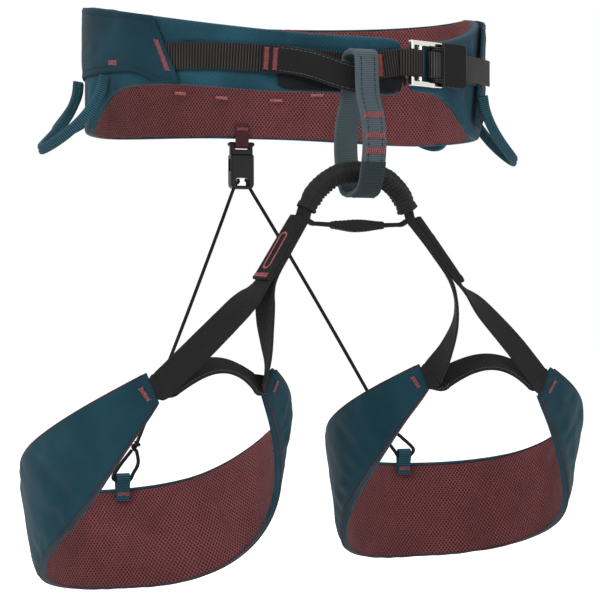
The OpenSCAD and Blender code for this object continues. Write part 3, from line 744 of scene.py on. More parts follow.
def corner_curves(node, outward, step, count=None):
    """The four long edges of a swept band, [row, corner, xyz], with rows a step apart or with count rows.

    The corners are outer high, outer low, inner low and inner high.
    """
    rings = four_corners(rings_of(node))
    rings = turned(rings, outward, UP, len(rings) // 2)
    middle = rings.mean(axis=1)
    count = count or int(lengths(curve(middle, 60))[-1] / step)
    return curve(np.column_stack([middle, rings.reshape(-1, 12)]), count)[:, 3:].reshape(count, 4, 3)


def bulge(distance, half):
    """Thickness share of a rounded edge at a distance from it."""
    d = np.clip(distance / half, 0.0, 1.0)
    return np.sqrt(np.clip(1 - (1 - d) ** 2, 0.0, 1.0))


def wavy(points, size, seed):
    """Smooth random numbers, about -1 to 1, over points in space."""
    return np.array([noise.noise(Vector(p / size) + Vector((seed * 7.3, seed, 0))) for p in points])


def wrapped(columns):
    """Columns of the outer face and then those of the inner face back again, which share the two edges."""
    return np.concatenate([columns, columns[:, -2:0:-1]], axis=1)


class Pad:
    """One padded band between its shell's outer face and its liner's inner face.

    Values by row run along the band. Values by corner run round each row in turn: down the outer face and
    up the inner face.
    """

    def __init__(self, shell, liner):
        s = corner_curves(shell, BACK, PAD_STEP)
        self.rows = len(s)
        t = corner_curves(liner, BACK, PAD_STEP, self.rows)
        if np.linalg.norm(s[0] - t[0]) > np.linalg.norm(s[0] - t[-1]):
            t = t[::-1]
        self.top = (s[:, 0] + t[:, 3]) / 2
        self.low = (s[:, 1] + t[:, 2]) / 2
        self.out = unit(s[:, 0] - t[:, 3] + s[:, 1] - t[:, 2])
        self.half = norms(s[:, 0] - t[:, 3]) / 2
        self.s = lengths((self.top + self.low) / 2)
        self.height = norms(self.top - self.low)
        last = EDGE_STEPS[-1]
        inner = np.linspace(0, 1, int(self.height.max() / PAD_STEP) + 1)[1:-1]
        down = [np.full(self.rows, step) for step in EDGE_STEPS]
        down += [last + (self.height - 2 * last) * share for share in inner]
        down = np.stack(down + [self.height - step for step in EDGE_STEPS[::-1]], axis=1)
        self.columns = down.shape[1]
        self.middle = mix(self.top[:, None], self.low[:, None], (down / self.height[:, None])[..., None])
        edge = np.minimum(down, self.height[:, None] - down)
        ends = bulge(np.minimum(self.s, self.s[-1] - self.s), self.half * 2.2)
        share = bulge(edge, self.half[:, None]) * mix(END_SHARE, 1, ends)[:, None]
        self.round = 2 * self.columns - 2
        self.corner_row = np.repeat(np.arange(self.rows), self.round)
        self.corner_side = np.tile(np.where(np.arange(self.round) < self.columns, 1.0, -1.0), self.rows)
        self.corner_middle = wrapped(self.middle).reshape(-1, 3)
        self.corner_out = self.out[self.corner_row]
        self.corner_half = self.half[self.corner_row]
        self.corner_s = self.s[self.corner_row]
        self.corner_down = wrapped(down).ravel()
        self.corner_edge = wrapped(edge).ravel()
        self.corner_share = wrapped(share).ravel()
        self.boxy = self.raised(self.corner_side * self.corner_half)

    def raised(self, height):
        """Places at a height from the pad's middle, one for each corner."""
        return self.corner_middle + self.corner_out * height[:, None]

    def height_at(self, row):
        return np.interp(row, np.arange(self.rows), self.height)

    def surface(self, row, down, lift=0.0, side=1):
        """Point at a row number and a distance down, on the outer or inner face, before any bulging."""
        rows = np.arange(self.rows)
        top, low, out = (read(row, rows, values) for values in (self.top, self.low, self.out))
        height, half = self.height_at(row), np.interp(row, rows, self.half)
        share = bulge(min(down, height - down), half)
        return mix(top, low, down / height) + unit(out) * side * (half * share + lift)

    def mesh(self, name, shell_material, liner_edge):
        """The closed pad: outer face, inner face, which is liner but for liner_edge, and both ends."""
        places = self.raised(self.corner_side * self.corner_half * self.corner_share * START_SHARE)
        faces = grid_faces(self.rows, self.round)
        pair = faces[:, :2]
        is_liner = np.all((self.corner_side[pair] < 0) & (self.corner_edge[pair] > liner_edge), axis=1)
        lids = []
        for first in (0, (self.rows - 1) * self.round):
            for k in range(self.columns - 1):
                around = (k, k + 1, self.round - k - 1, (self.round - k) % self.round)
                lids.append(list(dict.fromkeys(first + corner for corner in around)))
        uv = np.column_stack([self.corner_s, self.corner_down])
        chosen = [*is_liner, *[False] * len(lids)]
        piece = new_object(name, places, [*faces, *lids], uv, [shell_material, liner_mesh], chosen)
        fix_normals(piece)
        return piece


def places_of(piece):
    places = np.zeros(len(piece.data.vertices) * 3)
    piece.data.vertices.foreach_get("co", places)
    return places.reshape(-1, 3)


def move_to(piece, places):
    piece.data.vertices.foreach_set("co", np.ravel(places))
    piece.data.update()


def inflate(piece, pinned):
    """Blows the closed piece up as cloth, with the pinned corners held, and keeps the result as its mesh."""
    group = piece.vertex_groups.new(name="pinned")
    group.add([int(index) for index in np.nonzero(pinned)[0]], 1.0, "REPLACE")
    cloth = piece.modifiers.new("Cloth", "CLOTH")
    for key, value in CLOTH.items():
        setattr(cloth.settings, key, value)
    cloth.settings.vertex_group_mass = group.name
    cloth.settings.effector_weights.gravity = 0.0
    cloth.point_cache.frame_start = 1
    cloth.point_cache.frame_end = SIM_FRAMES
    scene = bpy.context.scene
    for number in range(1, SIM_FRAMES + 1):
        scene.frame_set(number)
    blown = places_of(piece.evaluated_get(bpy.context.evaluated_depsgraph_get()))
    piece.modifiers.remove(cloth)
    scene.frame_set(1)
    move_to(piece, blown)


def finish_pad(pad, piece, outer_cap, wrinkle, under, creases=()):
    """Blows the pad up, keeps it within its caps, and adds wrinkles and creases, each (share, width, lean).

    under marks the corners that something presses down.
    """
    pinned = (pad.corner_edge < PINNED_EDGE) | under | (pad.corner_row < 1) | (pad.corner_row > pad.rows - 2)
    inflate(piece, pinned)
    places = places_of(piece)
    moved = places - pad.corner_middle
    height = np.sum(moved * pad.corner_out, axis=1)
    sideways = moved - pad.corner_out * height[:, None]
    sideways *= np.minimum(1.0, DRIFT / np.maximum(norms(sideways), 1e-9))[:, None]
    full = np.where(pad.corner_side > 0, outer_cap, INNER_CAP)
    cap = mix(pad.corner_half, full, smooth(pad.corner_edge / FULL_AT))
    cap = np.where(under, np.minimum(cap, pad.corner_half - PRESSED), cap) * pad.corner_share
    least = np.where(under, 0.85, 0.95) * pad.corner_half * pad.corner_share
    height = np.clip(pad.corner_side * height, np.minimum(least, cap), cap)
    free = smooth((pad.corner_edge - WRINKLE_FROM) / WRINKLE_RISE) * ~under
    for seed, (size, share) in enumerate(WRINKLE_SIZES, 1):
        height += free * wrinkle * share * wavy(places, size, seed)
    for share, width, lean in creases:
        gap = pad.corner_s - share * pad.s[-1] - lean * pad.corner_down
        height -= free * CREASE_DEPTH * bell(gap, width)
    move_to(piece, pad.raised(pad.corner_side * height) + sideways)
    rounded = piece.modifiers.new("Rounded", "SUBSURF")
    rounded.levels = 1
    rounded.render_levels = 1


def edging(name, pad, inset, radius, material, side, body):
    """Piping along both long edges of a pad, on its outer (1) or inner (-1) face."""
    rows = np.linspace(0.6, pad.rows - 1.6, pad.rows * 2)
    top = [pad.surface(row, inset, 0.0, side) for row in rows]
    low = [pad.surface(row, pad.height_at(row) - inset, 0.0, side) for row in rows]
    sew(name, [top, low], radius, material, body)


# ---------------------------------------------------------------- webbing

FACE_STEPS = (-0.93, -0.8, -0.62, -0.42, -0.2, 0.0, 0.2, 0.42, 0.62, 0.8, 0.93)
SELVEDGE = ((0.985, 0.62), (1.0, 0.0), (0.985, -0.62))
HALF_PROFILE = np.array([*((v, 1.0) for v in FACE_STEPS), *SELVEDGE])
PROFILE = np.concatenate([HALF_PROFILE, -HALF_PROFILE])     # (across, out) shares round a strap's section
ROWS_PER_RIB = 4
SELVEDGE_AT = 0.87        # share of the half width where a strap's edge is thickest
SELVEDGE_RISE = 0.06
END_THIN = 0.45           # thickness share at a strap's cut ends
END_ROUND = 0.8 * MM
SWAY = 0.125 * MM          # how far a strap's edges wander
SWAY_SIZE = 9 * MM


def webbing(name, ribbon, web, body, slot=None, nodes=(), depth=0.3, closed=False, swell=1.0):
    """A strap with raised ribs across it, along a ribbon, in place of any CAD nodes. web is (look, pitch)."""
    look, pitch = web
    rows = max(4, int(ribbon.length / pitch * ROWS_PER_RIB))
    s = np.linspace(0, ribbon.length, rows, endpoint=not closed)
    middle, across, out, width, thick = ribbon.at(s)
    groove = 1 - np.sin(math.pi * s / pitch) ** 2
    v, high = PROFILE.T
    raised = SELVEDGE_RISE * (np.abs(np.abs(v) - SELVEDGE_AT) < 0.08)
    ends = 1.0 if closed else mix(END_THIN, 1, bulge(np.minimum(s, ribbon.length - s), END_ROUND))
    half = swell * ends * thick / 2
    high = high * (1 + raised - depth * (np.abs(v) < 0.97) * groove[:, None]) * half[:, None]
    wide = v * (width / 2 + SWAY * wavy(middle, SWAY_SIZE, 3))[:, None]
    grid = swept(middle, across, out, wide, high)
    placed(loft(name, grid, s, wide, look, closed_rows=closed), body, slot, *nodes)


def strip(node, ribbon, web, body, slot="black_webbing", **shape):
    """The strap that takes a CAD node's place."""
    webbing(node + "_ribs", ribbon, web, body, slot, [node], **shape)


def patch(name, ribbon, first, last, web, body, lift=0.0, narrow=1.0, swell=1.0):
    """A second layer of webbing sewn onto a ribbon between two distances along it."""
    s = np.linspace(first, last, max(4, int((last - first) / RIBBON_STEP)))
    middle, across, out, width, thick = ribbon.at(s)
    middle = middle + out * (thick[:, None] + lift)
    layer = Ribbon(np.column_stack([middle, across, out, width * narrow, thick]))
    webbing(name, layer, web, body, swell=swell)
    return layer


def outside(ribbon, lift):
    """A face just above a ribbon's outer side as a function of (s, v, rise), for sewing."""
    return lambda s, v, rise: ribbon.face(s, v, rise + lift)


def stitch_rows(name, ribbon, first, last, rows, thread, body,
                stitch=STITCH_LENGTH, gap=STITCH_GAP, lift=0.0):
    """Rows of stitches along a ribbon between two distances, each at its own v from the middle line."""
    lines = []
    for v in rows:
        lines += running_stitch(outside(ribbon, lift), (first, v), (last, v), stitch, gap)
    sew(name, lines, STITCH, thread, body)


def across_tack(name, ribbon, s, body, thread=red_thread, width=3.6 * MM, share=0.8, pitch=TACK_PITCH):
    """A bar tack across most of a strap at distance s along it."""
    half = np.interp(s, ribbon.s, ribbon.width) / 2 * share
    sew(name, bar_tack(outside(ribbon, 0.1 * MM), (s, -half), (s, half), width, pitch), TACK, thread, body)


# ---------------------------------------------------------------- waist belt

COVER_MARGIN = 1.5 * MM
COVER_REACH = 9 * MM      # a strap presses on cloth this far from its middle line, seen from above
GEAR_REACH = 17 * MM      # a gear loop keeps the cloth this near it flat
GEAR_PLACES = {f"{end}_{side}": hip for side, hip in (("right", RIGHT_HIP), ("left", LEFT_HIP))
               for end in ("front", "rear")}


def covered(pad, nodes):
    """Corners of a pad's outer side that lie under any of some straps, with a margin round them."""
    hit = np.zeros(len(pad.boxy), bool)
    for node in nodes:
        rings = rings_of(node)
        middle = curve(rings.mean(axis=1), 160)
        wide = norms(np.diff(rings[:, :3], axis=1)).max()
        low, high = (np.array(corner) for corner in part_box(node))
        inside = (pad.boxy > low - COVER_MARGIN) & (pad.boxy < high + COVER_MARGIN)
        for index in np.nonzero(inside.all(axis=1) & (pad.corner_side > 0))[0]:
            apart = middle - pad.boxy[index]
            apart = apart[np.argmin(norms(apart[:, :2]))]
            hit[index] |= abs(apart[2]) < wide / 2 + COVER_MARGIN and norms(apart[:2]) < COVER_REACH
    return hit


def make_waist():
    """The padded belt, kept flat under its webbing and panels and behind the gear loops."""
    pad = Pad("waist_shell", "waist_liner")
    piece = pad.mesh("waist_pad", teal_knit, 1.0 * MM)
    under = covered(pad, ["waist_webbing", "threaded_webbing", "side_panel_right", "side_panel_left"])
    for place in GEAR_PLACES:
        loop = np.array([v.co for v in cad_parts[f"gear_loop_{place}"].data.vertices])
        gap = norms(pad.boxy[:, None] - loop[::3]).min(axis=1)
        under |= (gap < GEAR_REACH) & (pad.corner_side > 0)
    finish_pad(pad, piece, 6.4 * MM, 0.5 * MM, under)
    placed(piece, "waist", "shell_fabric", "waist_shell", "waist_foam", "waist_core_web", "waist_liner")
    edging("waist_binding", pad, 0.9 * MM, 0.55 * MM, teal_edge, -1, "waist")
    return pad


PANEL_STEP = 2.2 * MM
PANEL_INSET = 4.4 * MM    # from a panel's edge to its border of stitches
PANEL_STITCH = 3.3 * MM
HEM_AT = 2.2 * MM         # from a panel's edge to the crest of its turned hem
HEM_END = 5.0 * MM        # from a panel's edge to the groove where its hem ends
PUCKERS = ((15 * MM, 0.5 * MM, 5), (6 * MM, 0.22 * MM, 6))     # size, height and seed of each set


def make_panel(node, hint):
    """A smooth fabric panel with a turned hem, small puckers and a sewn border.

    Gives its face for sewing, its length and its height by row.
    """
    c = corner_curves(node, hint, PANEL_STEP)
    rows = len(c)
    s = lengths(c.mean(axis=1))
    height = norms(c[:, 0] - c[:, 1])
    columns = int(height.max() / PANEL_STEP)
    share = np.linspace(0, 1, columns)
    down = height[:, None] * share
    edge = np.minimum(np.minimum(down, height[:, None] - down), np.minimum(s, s[-1] - s)[:, None])
    outer = mix(c[:, :1], c[:, 1:2], share[:, None])
    inner = mix(c[:, 3:], c[:, 2:3], share[:, None])
    out = unit(outer - inner)
    hem = 0.35 * MM * bell(edge - HEM_AT, 1.5 * MM) - 0.3 * MM * bell(edge - HEM_END, 0.9 * MM)
    pucker = sum(high * wavy(outer.reshape(-1, 3), size, seed) for size, high, seed in PUCKERS)
    lift = hem + pucker.reshape(edge.shape) * smooth(edge / HEM_END) + 0.45 * MM * smooth(edge / (12 * MM))
    rim = 0.9 * MM * (1 - bulge(edge + 0.15 * MM, 1.1 * MM))
    outer = outer + out * (lift - rim)[..., None]
    grid = np.concatenate([outer, inner[:, ::-1]], axis=1)
    piece = loft(node + "_fabric", grid, s, np.concatenate([down, down[:, ::-1]], axis=1), panel_fabric)
    placed(piece, "waist", "shell_fabric", node)

    def face(along, drop, rise):
        r = np.clip(along / (s[-1] / (rows - 1)), 0, rows - 1.001)
        i = int(r)
        k = np.clip(drop / height[i] * (columns - 1), 0, columns - 1.001)
        j = int(k)
        before, after = (mix(outer[i, j + n], outer[i + 1, j + n], r - i) for n in (0, 1))
        return mix(before, after, k - j) + out[i, j] * rise

    def bottom(along):
        return height[int(along / s[-1] * (rows - 1))] - PANEL_INSET

    lines = []
    for along in np.arange(PANEL_INSET, s[-1] - PANEL_INSET, PANEL_STITCH):
        for drop in (PANEL_INSET, bottom(along)):
            lines += running_stitch(face, (along, drop), (along + PANEL_STITCH, drop), gap=0.8 * MM)
    for end in (PANEL_INSET, s[-1] - PANEL_INSET):
        lines += running_stitch(face, (end, PANEL_INSET), (end, bottom(end)))
    sew(node + "_fabric_stitches", lines, STITCH, dark_thread, "waist")
    return face, s[-1], height


def panel_tacks(name, panel, shares):
    """Upright bar tacks at shares of a panel's length and height: (along, from, to)."""
    face, length, height = panel
    lines = []
    for along, high, low in shares:
        tall = height[int(along * (len(height) - 1))]
        lines += bar_tack(face, (along * length, high * tall), (along * length, low * tall), 4.2 * MM)
    sew(name, lines, TACK, red_thread, "waist")


def small_tack(panel, along, drop):
    """A short bar tack along a panel, at a share of its length and a distance down."""
    face, length, _ = panel
    ends = ((along * length + way * 4 * MM, drop) for way in (-1, 1))
    sew("panel_tack_small", bar_tack(face, *ends, 4 * MM), TACK, red_thread, "waist")


waist = make_waist()
right_panel = make_panel("side_panel_right", RIGHT_HIP)
left_panel = make_panel("side_panel_left", LEFT_HIP)
panel_tacks("panel_tacks_right", right_panel, [(0.03, 0.36, 0.8)])
small_tack(right_panel, 0.3, 39 * MM)
panel_tacks("panel_tacks_left", left_panel, [(0.06, 0.3, 0.6), (0.93, 0.3, 0.6)])


# ---------------------------------------------------------------- waist webbing and tie-in loop

waist_ribbon = strap("waist_webbing", FRONT + RIGHT_HIP, UP, 0.3)
strip("waist_webbing", waist_ribbon, web_waist, "waist", depth=0.42)
threaded_ribbon = strap("threaded_webbing", FRONT + LEFT_HIP, UP, 0.05)
strip("threaded_webbing", threaded_ribbon, web_buckle, "waist", depth=0.36)

tie = strap("tie_in_loop", FRONT, UP)
strip("tie_in_loop", tie, web_tie, "waist", depth=0.24, swell=1.15)
for number, s in enumerate((2.0 * MM, 8.5 * MM)):
    across_tack(f"tie_in_tack_{number}", tie, s, "waist")
across_tack("tie_in_tack_end", tie, tie.length - 2.2 * MM, "waist", orange_thread)
stitch_rows("tie_in_stitches", tie, 12 * MM, tie.length - 8 * MM, (-8.2 * MM, 8.2 * MM), grey_thread, "waist",
            2.2 * MM, 1.0 * MM, 0.25 * MM)


# ---------------------------------------------------------------- belay loop

def closed_ribbon(node):
    """A ribbon that runs round a closed loop of strap, its out side facing away from the loop's middle."""
    edges = closed_rings(node)
    middle = edges.mean(axis=1)
    away = (middle - edges.mean(axis=(0, 1))) * (0, 1, 1)
    offset = edges - middle[:, None]
    outness = np.einsum("rcx,rx->c", offset, unit(away))
    sideness = offset[:, :, 0].mean(axis=0)
    high_out, high_in, low_out, low_in = sorted(range(4), key=lambda k: (sideness[k] <= 0, -outness[k]))
    edges = edges[:, [high_out, low_out, low_in, high_in]]
    return ribbon_from(np.concatenate([edges, edges[:1]]))


belay = closed_ribbon("belay_loop")
strip("belay_loop", belay, web_loop, "belay", "loop_webbing", depth=0.06, closed=True)


def front_s(share):
    """Distance along the belay loop of its front strand at a share of its height from the top."""
    low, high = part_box("belay_loop")
    front = belay.middle[:, 1] < belay.middle[:, 1].mean()
    gap = np.abs(belay.middle[:, 2] - mix(high[2], low[2], share))
    return belay.s[int(np.argmin(np.where(front, gap, 1.0)))]


stitch_rows("belay_stitches", belay, front_s(0.07), front_s(0.93), (-5.2 * MM, 5.2 * MM), dark_thread,
            "belay", 2.6 * MM, 1.2 * MM, 0.1 * MM)
for number, share in enumerate((0.47, 0.6, 0.7)):
    s = front_s(share)
    across_tack(f"belay_tack_{number}", belay, s, "belay", width=5.6 * MM, share=0.84, pitch=2.6 * MM)
OVERLAP_SINK = 0.75       # share of the overlap's thickness that is sunk into the loop; the overlap, a darker copy of the loop webbing, is painted shade on the loop's lower front
overlap_lift = -OVERLAP_SINK * belay.thick.mean()
patch("belay_loop_shaded_overlap", belay, front_s(0.77), front_s(0.98), web_loop_shaded, "belay", overlap_lift)


# ---------------------------------------------------------------- backing and sewing on the belt

def row_at(pad, share, back=False):
    """Row number of a pad where its middle reaches a share of the half width, on the belt's front or back."""
    middle = pad.middle[:, pad.columns // 2]
    wrong = (middle[:, 1] < 0) if back else (middle[:, 1] > 0)
    return int(np.argmin(np.abs(middle[:, 0] - share * cad_box[1][0]) + wrong))


def drop_at(pad, row, z):
    """Distance down from a pad's top edge to height z."""
    share = (pad.top[row, 2] - z) / (pad.top[row, 2] - pad.low[row, 2])
    return float(np.clip(share, 0.02, 0.98) * pad.height[row])


BACKING_REACH = 0.22      # share of the belt's half width that the backing reaches to each side
BACKING_ROWS = 60
BACKING_COLUMNS = 9


def backing_strip():
    """A black strip that shows below the webbing across the front of the belt."""
    ends = sorted(row_at(waist, way * BACKING_REACH) for way in (-1, 1))
    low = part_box("tie_in_loop")[0][2]
    grid = []
    for share, row in zip(np.linspace(0, 1, BACKING_ROWS), np.linspace(*ends, BACKING_ROWS)):
        belly = 6 * MM * max(0.0, math.sin(math.pi * share)) ** 0.5
        top, bottom = (drop_at(waist, int(row), z) for z in (low + 14 * MM, low + 5 * MM - belly))
        downs = np.linspace(top, bottom, BACKING_COLUMNS)
        lifts = [1.2 * MM, *[1.7 * MM] * (BACKING_COLUMNS - 2), 1.2 * MM]
        outer = [waist.surface(row, down, lift) for down, lift in zip(downs, lifts)]
        grid.append(outer + [waist.surface(row, down, 0.2 * MM) for down in downs[::-1]])
    grid = np.array(grid)
    v = np.arange(BACKING_COLUMNS) * 2 * MM
    piece = loft("belt_backing", grid, lengths(grid[:, 0]), np.concatenate([v, v[::-1]]), black_cloth)
    placed(piece, "waist")


def liner_tacks():
    """Short bar tacks along the inside of the belt's back, and one above the riser tab."""
    lines = []
    for share, drop in ((-0.25, 0.61), (-0.09, 0.64), (0.13, 0.65), (0.3, 0.59)):
        row = row_at(waist, share, back=True)

        def face(s, v, rise):
            return waist.surface(row + s / PAD_STEP, drop * waist.height[row] + v, rise + 2.6 * MM, -1)
        lines += bar_tack(face, (-5.5 * MM, 0), (5.5 * MM, 0), 2.6 * MM)
    sew("liner_tacks", lines, TACK, pale_thread, "waist")


backing_strip()
liner_tacks()


# ---------------------------------------------------------------- gear loops

GEAR_SIDES = 24
GEAR_ROWS_PER_RIB = 4
GEAR_RIB = 0.12           # height of a gear loop's ribs, as a share of its thickness
GROOVE_DEPTH = 0.32
PIPING_RISE = 0.35
PIPING_AT = 0.84          # share of the half width where the piped edges lie
SEWN_FLAT = 0.55          # thickness share where a gear loop is sewn on
SEWN_LENGTH = 12 * MM


def gear_loop(node, hint, body):
    """A woven tube with a groove down its middle and piped edges, flattened where it is sewn on."""
    rings = rings_of(node)
    middle = rings.mean(axis=1)
    spread = rings - middle[:, None]
    across = unit(spread[:, int(np.argmax(norms(spread[len(rings) // 2])))])
    out = unit(np.cross(tangents(middle), across))
    out = out * np.sign(np.dot(out[len(out) // 2], hint))
    halves = [np.abs(np.einsum("rcx,rx->rc", spread, way)).max(axis=1) for way in (across, out)]
    count = int(lengths(middle)[-1] / GEAR_PITCH * GEAR_ROWS_PER_RIB)
    table = curve(np.column_stack([middle, across, out, *halves]), count)
    middle, across, out = table[:, :3], unit(table[:, 3:6]), unit(table[:, 6:9])
    s = lengths(middle)
    wide, high = circle(GEAR_SIDES)
    shape = (1 - GROOVE_DEPTH * bell(wide, 0.2)) * (1 + PIPING_RISE * bell(np.abs(wide) - PIPING_AT, 0.1))
    crest = np.sin(math.pi * s / GEAR_PITCH)[:, None] ** 2 - 0.5
    flat = mix(SEWN_FLAT, 1, smooth(np.minimum(s, s[-1] - s) / SEWN_LENGTH)) * table[:, 10]
    high = high * shape * (1 + GEAR_RIB * crest * (np.abs(wide) < 0.9)) * flat[:, None]
    grid = swept(middle, across, out, wide * table[:, 9:10], high)
    placed(loft(node + "_tube", grid, s, wide * 4 * MM, gear_look), body, "teal_webbing", node)


for place, hint in GEAR_PLACES.items():
    gear_loop(f"gear_loop_{place}", hint, f"gear_{place}")


# ---------------------------------------------------------------- bridge

SLEEVE_STEP = 0.45 * MM
SLEEVE_SIDES = 40
PLEAT = 3.4 * MM          # from one pleat to the next along the sleeve
PLEAT_DRIFT = 14 * MM     # distance over which the pleats wander
HEM = 0.6 * MM
HEM_STITCH = 5 * MM       # from the sleeve's end to the seam that draws it in


def gathered_sleeve(node):
    """The bridge's ruched sleeve: a fabric tube pushed into many small pleats."""
    _, place, layers = walked(node, SLEEVE_CORNERS)
    centers = np.array([place[layer].mean(axis=0) for layer in layers])
    low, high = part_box(node)
    radius = (high[1] - low[1]) / 2
    middle = curve(centers, int(lengths(centers)[-1] / SLEEVE_STEP))
    s = lengths(middle)
    a, b = frames_along(middle)
    turn = np.linspace(0, 2 * math.pi, SLEEVE_SIDES, endpoint=False)
    direction = a[:, None] * np.cos(turn)[:, None] + b[:, None] * np.sin(turn)[:, None]
    drift = wavy(middle, PLEAT_DRIFT, 11)[:, None]
    phase = s[:, None] / PLEAT * math.pi * 2 + 2.2 * drift
    phase = phase + 0.9 * np.sin(turn) + 0.5 * np.sin(2 * turn + drift)
    pleats = np.abs(np.sin(phase / 2)) ** 0.8
    depth = 0.05 + 0.16 * np.clip(-direction[..., 2], 0, 1)
    uneven = wavy((middle[:, None] + direction * radius).reshape(-1, 3), 7 * MM, 12).reshape(phase.shape)
    size = 0.93 - depth * (1 - pleats) + 0.06 * uneven + 0.07 * np.cos(5 * turn + 1.6 * drift)
    ends = np.minimum(s, s[-1] - s)[:, None]
    size = radius * size * (1 - 0.1 * bell(ends - HEM_STITCH, 2.2 * MM))
    grid = middle[:, None] + direction * size[..., None]
    piece = loft("bridge_sleeve_fabric", grid, s, turn * radius, sleeve_look, capped=False)
    piece.modifiers.new("Hem", "SOLIDIFY").thickness = HEM
    placed(piece, "waist", "black_webbing", node)


KEEPER_SEWN = 19 * MM      # half the length of the keeper's sewn middle


def make_keeper():
    """The strap under the bridge, thicker and wider where it is sewn, its ends run on into the sleeve."""
    keeper = strap("bridge_keeper", FRONT, UP)
    onward = unit(keeper.middle[-1] - keeper.middle[0]) * 7 * MM
    ends = [[(keeper.middle[k] + way * onward + UP * 4 * MM, keeper.across[k], keeper.out[k])]
            for k, way in ((0, -1), (-1, 1))]
    keeper = keeper.extended(*ends)
    middle = keeper.length / 2
    steps = [middle + reach for reach in (-KEEPER_SEWN - MM, -KEEPER_SEWN, KEEPER_SEWN, KEEPER_SEWN + MM)]
    keeper.scaled([*zip(steps, (0.9, 1.3, 1.3, 0.9))], [*zip(steps, (1, 1.5, 1.5, 1))])
    strip("bridge_keeper", keeper, web_strap, "waist")
    stitch_rows("keeper_stitches", keeper, middle - 18 * MM, middle + 18 * MM, [0], grey_thread, "waist")


gathered_sleeve("bridge_sleeve")
bridge_ribbon = strap("bridge_webbing", FRONT + UP * 0.7, UP - FRONT * 0.3)
strip("bridge_webbing", bridge_ribbon, web_strap, "waist")
make_keeper()


# ---------------------------------------------------------------- leg loops

LEG_CREASES = ((0.44, 4 * MM, 0.1), (0.48, 3.4 * MM, -0.15), (0.56, 5 * MM, 0.2), (0.2, 6 * MM, -0.3),
               (0.83, 6 * MM, 0.3))
SPLIT = np.array([76, -140, -161]) * MM      # where a leg loop's two straps part, on the left side


def into_pad(pad, ribbon, end):
    """Places inside a pad past one end of a strap, turned the way the pad lies."""
    middle = pad.middle[:, pad.columns // 2]
    first, last = norms(middle[[0, -1]] - ribbon.middle[end])
    places = []
    for row in (1, 3) if first < last else (-2, -4):
        across = unit(pad.top[row] - pad.low[row])
        out = pad.out[row]
        places.append((middle[row], across * np.sign(np.dot(across, ribbon.across[end])),
                       out * np.sign(np.dot(out, ribbon.out[end]))))
    return places


def leg_pad(side, body):
    """A padded leg loop with its bindings."""
    pad = Pad(f"leg_shell_{side}", f"leg_liner_{side}")
    piece = pad.mesh(f"leg_pad_{side}", teal, 1.2 * MM)
    finish_pad(pad, piece, 5.6 * MM, 0.85 * MM, np.zeros(len(pad.boxy), bool), LEG_CREASES)
    nodes = [f"leg_{part}_{side}" for part in ("shell", "foam", "core_web", "liner")]
    placed(piece, body, "shell_fabric", *nodes)
    edging(f"leg_binding_outer_{side}", pad, 0.7 * MM, 0.65 * MM, burgundy, 1, body)
    edging(f"leg_binding_inner_{side}", pad, 1.6 * MM, 0.45 * MM, teal_edge, -1, body)
    return pad


def leg_strap(layer, side, pad, outward, body):
    """One of the two straps from the bridge to the leg loop. The outer one has a folded, sewn upper part."""
    node = f"leg_strap_{layer}_{side}"
    ribbon = strap(node, FRONT + outward * 0.3, UP, 0.8)
    top = (ribbon.middle[0] + UP * 10 * MM - outward * 3 * MM, ribbon.across[0], ribbon.out[0])
    ribbon = ribbon.extended([top], into_pad(pad, ribbon, -1))
    foot = ribbon.length - 16 * MM
    split = nearest(ribbon, SPLIT * (outward[0], 1, 1))
    ribbon.scaled([(0, 0.42), (12 * MM, 0.5), (0.55 * split, 0.66), (split, 0.8), (split + 14 * MM, 1.0),
                   (foot, 1.0), (foot + 6 * MM, 0.6)],
                  [(0, 2.2), (0.6 * split, 1.7), (split, 1.5), (split + 10 * MM, 1.0)])
    strip(node, ribbon, web_strap, body)
    if layer == "outer":
        fold = patch(f"{node}_fold", ribbon, 9 * MM, split, web_strap, body, narrow=1.05, swell=1.2)
        across_tack(f"{node}_split_tack", fold, fold.length - 3 * MM, body, share=0.85)
        outline = stadium(0.3 * fold.length, fold.length - 9 * MM, 3.1 * MM)
        lines = zigzag(outside(fold, 0.1 * MM), outline, 1.5 * MM, 1.0 * MM)
        sew(f"{node}_outline", lines, STITCH, red_thread, body)


def leg_front_strap(side, pad, body):
    """The strap that joins the leg loop's two ends in front, with its line of stitches."""
    node = f"leg_front_strap_{side}"
    ribbon = strap(node, FRONT, UP)
    ribbon = ribbon.extended(into_pad(pad, ribbon, 0)[::-1], into_pad(pad, ribbon, -1))
    end = ribbon.length
    taper = ((0, 0.55), (14 * MM, 0.7), (24 * MM, 1))
    ribbon.scaled([*taper, *((end - s, share) for s, share in taper[::-1])])
    strip(node, ribbon, web_strap, body)
    low = -0.45 * ribbon.width.mean()
    stitch_rows(f"{node}_stitches", ribbon, 2 * MM, end - 2 * MM, [low], grey_thread, body,
                2.0 * MM, 0.6 * MM, 0.05 * MM)


def leg_end_tacks(side, pad, body):
    """Upright bar tacks where the straps run into the two ends of the padding."""
    for number, row in enumerate((1.6, pad.rows - 2.6)):
        def face(s, v, rise):
            return pad.surface(row + s, v, rise + 0.25 * MM)
        tall = pad.height_at(row)
        lines = bar_tack(face, (0, 0.3 * tall), (0, 0.7 * tall), 0.7)
        sew(f"leg_end_tack_{side}_{number}", lines, TACK, red_thread, body)


def make_leg(side, outward):
    """One padded leg loop with its straps, stitching and rear tab."""
    body = f"leg_{side}"
    pad = leg_pad(side, body)
    for layer in ("outer", "inner"):
        leg_strap(layer, side, pad, outward, body)
    leg_front_strap(side, pad, body)
    leg_end_tacks(side, pad, body)
    node = f"leg_rear_tab_{side}"
    tab = strap(node, FRONT, RIGHT_HIP, 0.9)
    strip(node, tab, (gear_look, LOOP_PITCH), body, "teal_webbing")
    across_tack(f"{node}_tack", tab, tab.length - 5 * MM, body, width=2.8 * MM)
    return tab


rear_tabs = {"right": make_leg("right", RIGHT_HIP), "left": make_leg("left", LEFT_HIP)}


